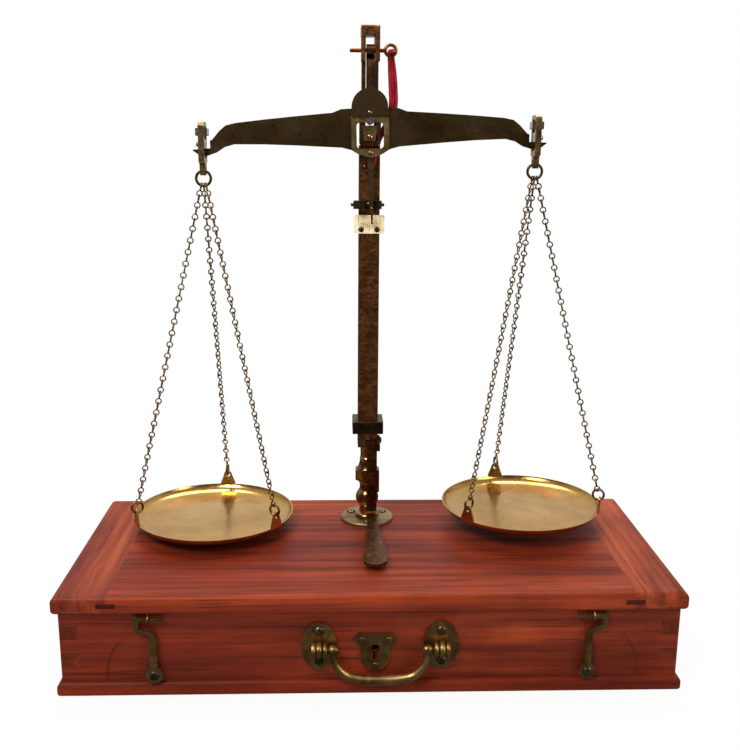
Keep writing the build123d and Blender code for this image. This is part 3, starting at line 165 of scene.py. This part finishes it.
def wood(name, s):
    # long streaks along the grain, slow figure across the board, fine dark pores, stains
    mat, tree, shader = newMaterial(name)
    along = s["grain"]
    slow = coords(tree, tuple(0.16 if axis == along else 1.0 for axis in "xyz"))
    fine = coords(tree, tuple(0.03 if axis == along else 1.0 for axis in "xyz"))
    figure = noise(tree, slow, s["figure"], 6, 0.6, 0.5)
    streaks = noise(tree, fine, s["streaks"], 7, 0.68, 0.1)
    pores = noise(tree, fine, s["pores"], 2, 0.5)
    patches = noise(tree, coords(tree), 9, 4, 0.6)
    base = ramp(tree, figure, [(0.3, s["dark"]), (0.5, s["mid"]), (0.72, s["light"])])
    base = blendColours(tree, spread(tree, streaks, 0, 0.75, 0.42, 0.68), base, s["deep"])
    base = blendColours(tree, spread(tree, pores, 0, 0.55, 0.6, 0.72), base, s["pore"])
    base = blendColours(tree, spread(tree, patches, 0, s["stain"], 0.52, 0.72), base, s["stained"])
    if "arcs" in s:
        # rubbed arcs round each hook's pivot, where the hook's tip has swung
        split = tree.nodes.new("ShaderNodeSeparateXYZ")
        wire(tree, coords(tree), split.inputs[0])
        for cx, cz, radius in s["arcs"]:
            dx = maths(tree, "SUBTRACT", split.outputs["X"], cx)
            dz = maths(tree, "SUBTRACT", split.outputs["Z"], cz)
            far = maths(tree, "SQRT", maths(tree, "ADD", maths(tree, "MULTIPLY", dx, dx),
                                            maths(tree, "MULTIPLY", dz, dz)))
            off = maths(tree, "ABSOLUTE", maths(tree, "SUBTRACT", far, radius))
            line = spread(tree, off, 0.75, 0, 0.0001, 0.0007)
            outer = spread(tree, maths(tree, "MULTIPLY", dx, 1 if cx > 0 else -1), 0, 1, 0.004, 0.02)
            lower = spread(tree, dz, 1, 0, 0.014, 0.026)
            base = blendColours(tree, maths(tree, "MULTIPLY", line, maths(tree, "MULTIPLY", outer, lower)), base,
                                s["scratch"])
    wire(tree, base, shader.inputs["Base Color"])
    wire(tree, spread(tree, streaks, s["rough"][0], s["rough"][1]), shader.inputs["Roughness"])
    shader.inputs["Coat Weight"].default_value = s["coat"]
    shader.inputs["Coat Roughness"].default_value = 0.3
    shader.inputs["Specular IOR Level"].default_value = 0.12
    bump(tree, shader, pores, 0.25, 0.0003)
    return mat


def metal(name, s):
    # patches of tarnish over a base, brighter rubbed spots, uneven polish
    mat, tree, shader = newMaterial(name)
    at = coords(tree, s.get("stretch", (1, 1, 1)))
    patches = noise(tree, at, s["patch"], 6, 0.65, s.get("twist", 0.4))
    specks = noise(tree, at, s["speck"], 5, 0.6)
    base = ramp(tree, patches, [(0.34, s["dark"]), (0.5, s["base"]), (0.68, s["bright"])])
    base = blendColours(tree, spread(tree, specks, 0, s["speckMix"], 0.55, 0.7), base, s["spot"])
    if "above" in s:
        # a second tone over a given height, for a raised part of the same piece
        split = tree.nodes.new("ShaderNodeSeparateXYZ")
        wire(tree, coords(tree), split.inputs[0])
        step = maths(tree, "GREATER_THAN", split.outputs["Z"], s["above"][0])
        base = blendColours(tree, step, base, s["above"][1])
    wire(tree, base, shader.inputs["Base Color"])
    shader.inputs["Specular IOR Level"].default_value = s.get("shine", 0.5)
    shader.inputs["Metallic"].default_value = s.get("metallic", 1.0)
    wire(tree, spread(tree, specks, s["rough"][0], s["rough"][1]), shader.inputs["Roughness"])
    bump(tree, shader, specks, s.get("bump", 0.12), 0.0002)
    return mat


red = dict(dark=(0.10, 0.010, 0.0035), mid=(0.24, 0.028, 0.007), light=(0.40, 0.062, 0.014),
           deep=(0.055, 0.006, 0.0025), pore=(0.03, 0.004, 0.002), stained=(0.05, 0.006, 0.003), stain=0.5,
           figure=22, streaks=170, pores=560, rough=(0.34, 0.58), coat=0.04, scratch=(0.06, 0.012, 0.005))
arcReaches = dict(left=(0.0275, 0.0268), right=(0.0300, 0.0292))
hookArcs = [(pivots[f"{side}_hook_turn"][0], pivots[f"{side}_hook_turn"][2], reach)
            for side, reaches in arcReaches.items() for reach in reaches]
look = dict(
    woodX=wood("mahogany along", dict(red, grain="x")),
    woodFront=wood("mahogany front", dict(red, grain="x", arcs=hookArcs)),
    woodY=wood("mahogany across", dict(red, grain="y", mid=(0.30, 0.045, 0.012), light=(0.46, 0.09, 0.024))),
    woodEnd=wood("mahogany end grain", dict(red, grain="y", mid=(0.16, 0.022, 0.006), light=(0.24, 0.036, 0.01))),
    tongue=wood("tongue", dict(red, grain="x", dark=(0.03, 0.004, 0.002), mid=(0.05, 0.007, 0.003),
                               light=(0.08, 0.012, 0.004))),
    brass=metal("case brass", dict(dark=(0.20, 0.115, 0.04), base=(0.40, 0.25, 0.09), bright=(0.62, 0.43, 0.18),
                                   spot=(0.11, 0.06, 0.022), patch=70, speck=420, speckMix=0.7, rough=(0.28, 0.5))),
    flange=metal("flange brass", dict(dark=(0.15, 0.095, 0.04), base=(0.26, 0.18, 0.085), bright=(0.40, 0.29, 0.15),
                                      spot=(0.16, 0.10, 0.045), patch=70, speck=420, speckMix=0.4,
                                      rough=(0.4, 0.6))),
    column=metal("column brass", dict(dark=(0.13, 0.065, 0.025), base=(0.27, 0.145, 0.058), bright=(0.50, 0.31, 0.13),
                                      spot=(0.12, 0.05, 0.02), patch=90, speck=500, speckMix=0.5,
                                      rough=(0.14, 0.3))),
    copper=metal("copper hook", dict(dark=(0.30, 0.12, 0.05), base=(0.56, 0.27, 0.12), bright=(0.82, 0.46, 0.22),
                                     spot=(0.14, 0.05, 0.02), patch=90, speck=500, speckMix=0.4,
                                     rough=(0.12, 0.28))),
    guard=metal("guard bronze", dict(dark=(0.04, 0.024, 0.014), base=(0.085, 0.052, 0.030),
                                     bright=(0.16, 0.10, 0.055), spot=(0.02, 0.012, 0.008), patch=140, speck=600,
                                     speckMix=0.5, rough=(0.3, 0.5))),
    pointer=metal("pointer brass", dict(dark=(0.36, 0.21, 0.09), base=(0.60, 0.38, 0.18), bright=(0.86, 0.62, 0.34),
                                        spot=(0.2, 0.1, 0.04), patch=110, speck=500, speckMix=0.3,
                                        rough=(0.12, 0.26))),
    darkScrew=metal("dark screws", dict(dark=(0.06, 0.045, 0.03), base=(0.13, 0.10, 0.07), bright=(0.26, 0.20, 0.13),
                                        spot=(0.04, 0.03, 0.02), patch=200, speck=800, speckMix=0.5,
                                        rough=(0.3, 0.5))),
    pillar=metal("pillar bronze", dict(dark=(0.16, 0.056, 0.020), base=(0.34, 0.135, 0.048),
                                       bright=(0.58, 0.27, 0.10), spot=(0.04, 0.016, 0.008), patch=260, speck=520,
                                       speckMix=0.7, rough=(0.26, 0.5), twist=0.6, stretch=(0.8, 0.8, 1.3))),
    lever=metal("lever brass", dict(dark=(0.07, 0.026, 0.008), base=(0.14, 0.056, 0.015), bright=(0.30, 0.14, 0.04),
                                    spot=(0.07, 0.03, 0.012), patch=240, speck=700, speckMix=0.7, rough=(0.24, 0.45),
                                    twist=1.0)),
    stirrup=metal("stirrup brass", dict(dark=(0.24, 0.14, 0.055), base=(0.44, 0.29, 0.12), bright=(0.66, 0.48, 0.22),
                                        spot=(0.12, 0.065, 0.028), patch=120, speck=600, speckMix=0.6,
                                        rough=(0.24, 0.42))),
    cheek=metal("cheek brass", dict(dark=(0.20, 0.13, 0.05), base=(0.36, 0.25, 0.10), bright=(0.54, 0.40, 0.18),
                                    spot=(0.12, 0.075, 0.03), patch=160, speck=700, speckMix=0.6, rough=(0.34, 0.5),
                                    above=(0.3266, (0.125, 0.080, 0.036)))),
    beam=metal("beam bronze", dict(dark=(0.10, 0.062, 0.026), base=(0.155, 0.098, 0.042), bright=(0.23, 0.15, 0.066),
                                   spot=(0.07, 0.042, 0.018), patch=40, speck=600, speckMix=0.4, rough=(0.3, 0.42),
                                   twist=0.3)),
    chain=metal("chain bronze", dict(dark=(0.10, 0.06, 0.025), base=(0.22, 0.14, 0.06), bright=(0.42, 0.29, 0.13),
                                     spot=(0.05, 0.03, 0.015), patch=160, speck=900, speckMix=0.5,
                                     rough=(0.28, 0.5))),
    steel=metal("knife steel", dict(dark=(0.32, 0.31, 0.29), base=(0.52, 0.51, 0.48), bright=(0.74, 0.73, 0.70),
                                    spot=(0.22, 0.19, 0.16), patch=180, speck=900, speckMix=0.35,
                                    rough=(0.2, 0.38))),
    pan=metal("pan brass", dict(dark=(0.50, 0.27, 0.07), base=(0.64, 0.37, 0.11), bright=(0.76, 0.48, 0.17),
                                spot=(0.34, 0.17, 0.05), patch=18, speck=200, speckMix=0.22, rough=(0.16, 0.27),
                                bump=0.03)),
    ivory=metal("ivory", dict(dark=(0.66, 0.52, 0.27), base=(0.84, 0.72, 0.44), bright=(0.92, 0.84, 0.60),
                              spot=(0.46, 0.32, 0.15), patch=120, speck=500, speckMix=0.25, rough=(0.35, 0.5),
                              metallic=0.0)),
    ink=metal("ink", dict(dark=(0.02, 0.018, 0.015), base=(0.035, 0.03, 0.025), bright=(0.06, 0.05, 0.04),
                          spot=(0.015, 0.012, 0.01), patch=300, speck=900, speckMix=0.3, rough=(0.5, 0.7),
                          metallic=0.0)),
    cord=metal("crimson silk", dict(dark=(0.14, 0.003, 0.008), base=(0.30, 0.007, 0.018), bright=(0.46, 0.02, 0.04),
                                    spot=(0.08, 0.002, 0.004), patch=600, speck=1600, speckMix=0.7,
                                    rough=(0.6, 0.8), metallic=0.0, bump=0.5, stretch=(1, 1, 0.25), shine=0.15)),
)
wears = dict(
    woodX="base_board back_board lid_panel", woodFront="front_board", woodY="lid_battens",
    woodEnd="side_board_left side_board_right", tongue="lid_tongues",
    brass="hinge_leaves hinge_pins hinge_screws escutcheon escutcheon_pins handle_plates handle_bail hook_left "
          "hook_right screw_eyes lock_bolt",
    darkScrew="case_screws lock_case lever_pin tube_screws flange_screws",
    flange="base_flange", column="column", copper="suspension_hook lift_rod", guard="pointer_guard tube_collar",
    pillar="pillar_tube rod_head suspension_pin", lever="lever", stirrup="stirrup_left stirrup_right bearing_block bearing_screw cheek_screws",
    cheek="beam_cheek_front", pointer="pointer", beam="beam beam_cheek_rear top_ring_left top_ring_right",
    chain="chains_left chains_right pan_rings_left pan_rings_right",
    steel="centre_knife end_knives stirrup_bearing_left stirrup_bearing_right knife_screws",
    pan="pan_left pan_right", ivory="scale_plate", cord="red_cord")
for key, names in wears.items():
    for name in names.split():
        nodes[name].data.materials.clear()
        nodes[name].data.materials.append(look[key])
print("materials on")


# meshes from numpy arrays
def meshObject(name, verts, faces, mat, smooth=True):
    data = bpy.data.meshes.new(name)
    data.from_pydata(np.asarray(verts, float).reshape(-1, 3).tolist(), [], np.asarray(faces, int).tolist())
    data.update()
    data.polygons.foreach_set("use_smooth", np.full(len(data.polygons), smooth))
    data.materials.append(mat)
    obj = bpy.data.objects.new(name, data)
    bpy.context.collection.objects.link(obj)
    return obj


def boxes(name, lows, highs, mat):
    # eight corners per box from its low and high corner, six faces each
    low, high = np.asarray(lows, float)[:, None, :], np.asarray(highs, float)[:, None, :]
    pick = np.array([[i & 1, i >> 1 & 1, i >> 2 & 1] for i in range(8)])[None]
    verts = np.where(pick == 1, high, low)
    face = np.array([[0, 2, 3, 1], [4, 5, 7, 6], [0, 1, 5, 4], [2, 6, 7, 3], [0, 4, 6, 2], [1, 3, 7, 5]])
    faces = (face[None] + 8 * np.arange(verts.shape[0])[:, None, None]).reshape(-1, 4)
    return meshObject(name, verts, faces, mat, False)


def softPath(points, steps):
    # Catmull-Rom through the points, ends held
    p = np.asarray(points, float)
    p = np.vstack([2 * p[0] - p[1], p, 2 * p[-1] - p[-2]])
    t = np.linspace(0, 1, steps, endpoint=False)[:, None]
    parts = [0.5 * (2 * b + (c - a) * t + (2 * a - 5 * b + 4 * c - d) * t ** 2 + (3 * b - a - 3 * c + d) * t ** 3)
             for a, b, c, d in zip(p, p[1:], p[2:], p[3:])]
    return np.vstack(parts + [p[-2:-1]])


def flatTube(name, path, radii, side, mat, around=24):
    # rings square to the path; side is the axis the path never leaves
    path = np.asarray(path)
    ahead = np.gradient(path, axis=0)
    ahead /= np.linalg.norm(ahead, axis=1)[:, None]
    side = np.tile(np.asarray(side, float), (len(path), 1))
    up = np.cross(ahead, side)
    turn = np.linspace(0, 2 * pi, around, endpoint=False)
    verts = (path[:, None] + radii[:, None, None] * (np.cos(turn)[None, :, None] * side[:, None]
                                                     + np.sin(turn)[None, :, None] * up[:, None]))
    row = np.arange(around)
    quads = np.stack([row, np.roll(row, -1), np.roll(row, -1) + around, row + around], 1)
    faces = (quads[None] + around * np.arange(len(path) - 1)[:, None, None]).reshape(-1, 4)
    return meshObject(name, verts, faces, mat)


# red cord: silk strands, each one spline through the frame's route
cordSet = dict(diameter=0.002, length=0.0826, shares=[0.2, 0.6, 0.8, 1, 1, 0.5, 0.5],
               shifts=[(0, 0, 0), (0.0019, -0.0006, 0.0004), (-0.0017, -0.0005, -0.0004)],
               points=[(-0.0031, 0.0344, 0.29455), (0.0016, 0.0344, 0.29455), (0.0030, 0.0344, 0.3116),
                       (0.0146, 0.0344, 0.3268), (0.0136, 0.0344, 0.3490), (0.0120, 0.0339, 0.3646),
                       (0.0120, 0.0260, 0.3641)])


def strand(name, s, shift):
    # the middle of the route takes the whole shift, the ends only some of it
    curve = bpy.data.curves.new(name, "CURVE")
    curve.dimensions = "3D"
    curve.bevel_depth = s["diameter"] / 2
    curve.bevel_resolution = 5
    curve.resolution_u = 16
    curve.use_fill_caps = True
    spline = curve.splines.new("NURBS")
    spline.points.add(len(s["points"]) - 1)
    share = np.array(s["shares"])[:, None]
    for p, c in zip(spline.points, (np.array(s["points"]) + share * np.array(shift)).tolist()):
        p.co = (*c, 1)
    spline.order_u = 3
    spline.use_endpoint_u = True
    curve.materials.append(look["cord"])
    obj = bpy.data.objects.new(name, curve)
    bpy.context.collection.objects.link(obj)
    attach(obj, "case")
    return obj


for i, shift in enumerate(cordSet["shifts"]):
    cord = strand(f"cord_strand_{i}", cordSet, shift)
    if i == 0:
        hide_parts("red_cord")
print("cord laid")

# graduations on the ivory plate, longer at the ends and the middle
marks = dict(front=0.03429, deep=0.00004, top=0.0636 + 0.2036, step=0.00113, count=13, thin=0.0002,
             endLine=(0.0019, 0.0062), midLine=(0.0047, 0.0098), line=(0.0047, 0.0081))
lows, highs = [], []
lastMark = marks["count"] - 1
for i in range(marks["count"]):
    x = (i - lastMark / 2) * marks["step"]
    kind = "endLine" if i in (0, lastMark) else "midLine" if i == lastMark // 2 else "line"
    upper, lower = marks[kind]
    lows.append((x - marks["thin"] / 2, marks["front"] - marks["deep"], marks["top"] - lower))
    highs.append((x + marks["thin"] / 2, marks["front"], marks["top"] - upper))
markLines = boxes("scale_marks", lows, highs, look["ink"])
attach(markLines, "case")

# bail: thin at the beads, thick in the middle, with turned beads on the pins
bail = dict(half=0.0268, drop=0.019, thin=0.0016, thick=0.0030, pin=0.0014, tuck=0.0008, pinReach=0.0034,
            shape=[(-1, 0), (-1.0, -0.26), (-0.93, -0.55), (-0.72, -0.86), (-0.4, -0.98), (0, -1), (0.4, -0.98),
                   (0.72, -0.86), (0.93, -0.55), (1.0, -0.26), (1, 0)],
            bead=[(-0.0026, 0.0019), (-0.0022, 0.0026), (-0.0008, 0.0029), (0.0008, 0.0029), (0.0022, 0.0026),
                  (0.0026, 0.0019)])
bailX, bailY, bailZ = pivots["bail_swing"]
route = softPath([(bailX + bail["half"] * u, bailY, bailZ + bail["drop"] * v) for u, v in bail["shape"]], 8)
swell = np.sin(np.linspace(0, pi, len(route)))
bailWire = flatTube("bail_wire", route, bail["thin"] + (bail["thick"] - bail["thin"]) * swell ** 1.3, (0, 1, 0),
                    look["brass"])
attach(bailWire, "bail")
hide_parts("handle_bail")
for side, sx in (("left", -1), ("right", 1)):
    # the pin is long on the outer side and tucked into the bail on the inner one
    inner, outer = bail["tuck"], bail["pinReach"]
    before, after = (inner, outer) if sx > 0 else (outer, inner)
    offsets = [bail["bead"][0][0] - before, *[dx for dx, r in bail["bead"]], bail["bead"][-1][0] + after]
    ends = [(bailX + sx * bail["half"] + dx, bailY, bailZ) for dx in offsets]
    radii = np.array([bail["pin"], *[r for dx, r in bail["bead"]], bail["pin"]])
    bead = flatTube(f"bail_bead_{side}", ends, radii, (0, 1, 0), look["brass"])
    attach(bead, "bail")
print("bail swelled")

# jack chains: each link is two eyes at right angles on a short neck; sizes in mm
chainSet = dict(
    links=28, wire=0.45, eye=1.72, neck=0.6, lap=0.95, ringRadius=4.45, panDrop=215, fan=24,
    topReach=2.95, panReach=51.45, panLift=6.8, ringMiddle=3.93, ringReach=2.25, third=120, frontTurns=(45, 135),
    firstTurns=dict(left=86, right=100))


def unit(v):
    return v / np.linalg.norm(v)


def eyeRing(middle, axis, s, around=10, tube=5):
    # a ring of wire square to the axis
    a = unit(np.asarray(axis, float))
    e1 = unit(np.cross(a, (0, 0, 1) if abs(a[2]) < 0.9 else (1, 0, 0)))
    e2 = np.cross(a, e1)
    i, j = np.divmod(np.arange(around * tube), tube)
    u, v = (2 * pi * i / around)[:, None], (2 * pi * j / tube)[:, None]
    spoke = np.cos(u) * e1 + np.sin(u) * e2
    verts = middle + (s["eye"] + s["wire"] * np.cos(v)) * spoke + s["wire"] * np.sin(v) * a
    i2, j2 = (i + 1) % around, (j + 1) % tube
    return verts, np.stack([i * tube + j, i2 * tube + j, i2 * tube + j2, i * tube + j2], 1)


def linkNeck(top, low, s, sides=8):
    # an eight sided rod, its ends closed by three quads each
    turn = 2 * pi * np.arange(sides) / sides
    ring = s["neck"] * np.stack([np.cos(turn), np.sin(turn), 0 * turn], 1)
    row = np.arange(sides)
    wall = np.stack([row, row + sides, np.roll(row, -1) + sides, np.roll(row, -1)], 1)
    cap = np.array([[0, 1, 2, 3], [0, 3, 4, 7], [4, 5, 6, 7]])
    return np.vstack([ring + (0, 0, top), ring + (0, 0, low)]), np.vstack([wall, cap, cap[:, ::-1] + sides])


def merged(pieces):
    starts = np.cumsum([0] + [len(v) for v, f in pieces[:-1]])
    return np.vstack([v for v, f in pieces]), np.vstack([f + n for (v, f), n in zip(pieces, starts)])


def chainRun(turn, topRing, s):
    # from the top ring to the pan ring of the lug at this turn
    outward = np.array((cos(radians(turn)), sin(radians(turn)), 0))
    front = s["frontTurns"][0] < turn < s["frontTurns"][1]
    fan = radians(s["fan"]) * (0 if front else -1 if outward[0] < 0 else 1)
    start = topRing + np.array((sin(fan), 0, -cos(fan))) * s["topReach"]
    hole = topRing + outward * s["panReach"] + (0, 0, s["panLift"] - s["panDrop"])
    across = np.cross(outward, (0, 0, 1))
    pull = start - hole
    lift = unit(pull - across * (pull @ across))
    finish = hole + lift * (s["ringMiddle"] + s["ringReach"])
    way = unit(finish - start)
    pitch = (np.linalg.norm(finish - start) - s["lap"]) / s["links"]
    length = pitch + s["lap"]
    first = unit(np.cross(way, (0, 1, 0)))
    last = unit(np.cross(np.cross(way, across), way))
    aim = unit(np.cross(way, last))
    roll = np.arctan2(np.cross(first, aim) @ way, first @ aim)
    roll = (roll + pi / 2) % pi - pi / 2
    link, faces = merged([eyeRing((0, 0, -s["eye"]), (1, 0, 0), s), eyeRing((0, 0, s["eye"] - length), (0, 1, 0), s),
                          linkNeck(-2 * s["eye"] + s["wire"] / 2, 2 * s["eye"] - s["wire"] / 2 - length, s)])
    pieces = []
    for n in range(s["links"]):
        angle = roll * n / (s["links"] - 1)
        x = first * cos(angle) + np.cross(way, first) * sin(angle)
        axes = np.stack([x, np.cross(-way, x), -way])
        pieces.append((start + way * pitch * n + link @ axes, faces))
    return merged(pieces)


for side, firstTurn in chainSet["firstTurns"].items():
    topRing = 1000 * np.array(pivots[f"pan_{side}_swing"]) - (0, 0, chainSet["ringRadius"])
    verts, faces = merged([chainRun(firstTurn + chainSet["third"] * k, topRing, chainSet) for k in range(3)])
    chain = meshObject(f"chain_links_{side}", verts / 1000, faces, look["chain"])
    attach(chain, f"{side}_pan")
    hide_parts(f"chains_{side}")
print("chains hung")

# floor, backdrop and lights
floorSet = dict(half=4, low=-0.02, top=-0.0002)
floorMat, tree, shader = newMaterial("floor")
floor = boxes("floor", [(-floorSet["half"], -floorSet["half"], floorSet["low"])],
              [(floorSet["half"], floorSet["half"], floorSet["top"])], floorMat)
shader.inputs["Roughness"].default_value = 0.9
wire(tree, ramp(tree, noise(tree, coords(tree), 3), [(0.2, (0.86, 0.86, 0.86)), (0.8, (0.90, 0.90, 0.90))]),
     shader.inputs["Base Color"])
glow = tree.nodes.new("ShaderNodeEmission")
glow.inputs["Strength"].default_value = 1.0
mix = tree.nodes.new("ShaderNodeMixShader")
path = tree.nodes.new("ShaderNodeLightPath")
# the camera sees soft contact shadows near the case and plain white farther out, so no horizon shows
away = tree.nodes.new("ShaderNodeVectorMath")
away.operation = "LENGTH"
wire(tree, coords(tree), away.inputs[0])
whiteness = spread(tree, away.outputs["Value"], 0.92, 1.0, 0.25, 0.7)
wire(tree, maths(tree, "MULTIPLY", path.outputs["Is Camera Ray"], whiteness), mix.inputs[0])
wire(tree, shader.outputs[0], mix.inputs[1])
wire(tree, glow.outputs[0], mix.inputs[2])
dim = tree.nodes.new("ShaderNodeEmission")
dim.inputs["Color"].default_value = (0.10, 0.095, 0.09, 1)
mirror = tree.nodes.new("ShaderNodeMixShader")
wire(tree, path.outputs["Is Glossy Ray"], mirror.inputs[0])
wire(tree, mix.outputs[0], mirror.inputs[1])
wire(tree, dim.outputs[0], mirror.inputs[2])
wire(tree, mirror.outputs[0], tree.nodes["Material Output"].inputs["Surface"])


def softBox(name, place, target, size, power, tint=(1, 1, 1)):
    data = bpy.data.lights.new(name, "AREA")
    data.shape = "RECTANGLE"
    data.size, data.size_y = size
    data.energy = power
    data.color = tint
    lamp = bpy.data.objects.new(name, data)
    lamp.location = place
    lamp.rotation_euler = (Vector(target) - Vector(place)).to_track_quat("-Z", "Y").to_euler()
    bpy.context.collection.objects.link(lamp)


lamps = dict(
    key=dict(place=(-0.5, -0.75, 1.05), target=(0, 0, 0.15), size=(0.45, 0.45), power=11, tint=(1, 0.97, 0.92)),
    fill=dict(place=(0.85, -0.6, 0.55), target=(0, 0, 0.15), size=(0.3, 0.6), power=4, tint=(1, 0.96, 0.9)),
    top=dict(place=(0, 0.35, 1.1), target=(0, 0, 0.1), size=(1.0, 0.4), power=8))
for name, s in lamps.items():
    softBox(name, **s)
world = bpy.data.worlds.new("studio")
world.use_nodes = True
tree = world.node_tree
back = tree.nodes["Background"]
back.inputs["Strength"].default_value = 0.75
bright = tree.nodes.new("ShaderNodeBackground")
bright.inputs["Color"].default_value = (1, 1, 1, 1)
mix = tree.nodes.new("ShaderNodeMixShader")
path = tree.nodes.new("ShaderNodeLightPath")
split = tree.nodes.new("ShaderNodeSeparateXYZ")
tex = tree.nodes.new("ShaderNodeTexCoord")
wire(tree, tex.outputs["Generated"], split.inputs[0])
# dark room in front of the object, bright behind and above it
lean = maths(tree, "ADD", maths(tree, "MULTIPLY", split.outputs["Y"], 0.7),
             maths(tree, "MULTIPLY", split.outputs["Z"], 0.6))
wire(tree, ramp(tree, spread(tree, lean, 0, 1, -0.7, 0.9),
                [(0.0, (0.05, 0.045, 0.04)), (0.42, (0.12, 0.11, 0.10)), (0.62, (0.55, 0.54, 0.53)),
                 (1.0, (1, 1, 1))]), back.inputs["Color"])
wire(tree, path.outputs["Is Camera Ray"], mix.inputs[0])
wire(tree, back.outputs[0], mix.inputs[1])
wire(tree, bright.outputs[0], mix.inputs[2])
wire(tree, mix.outputs[0], tree.nodes["World Output"].inputs["Surface"])
bpy.context.scene.world = world
print("lights set")
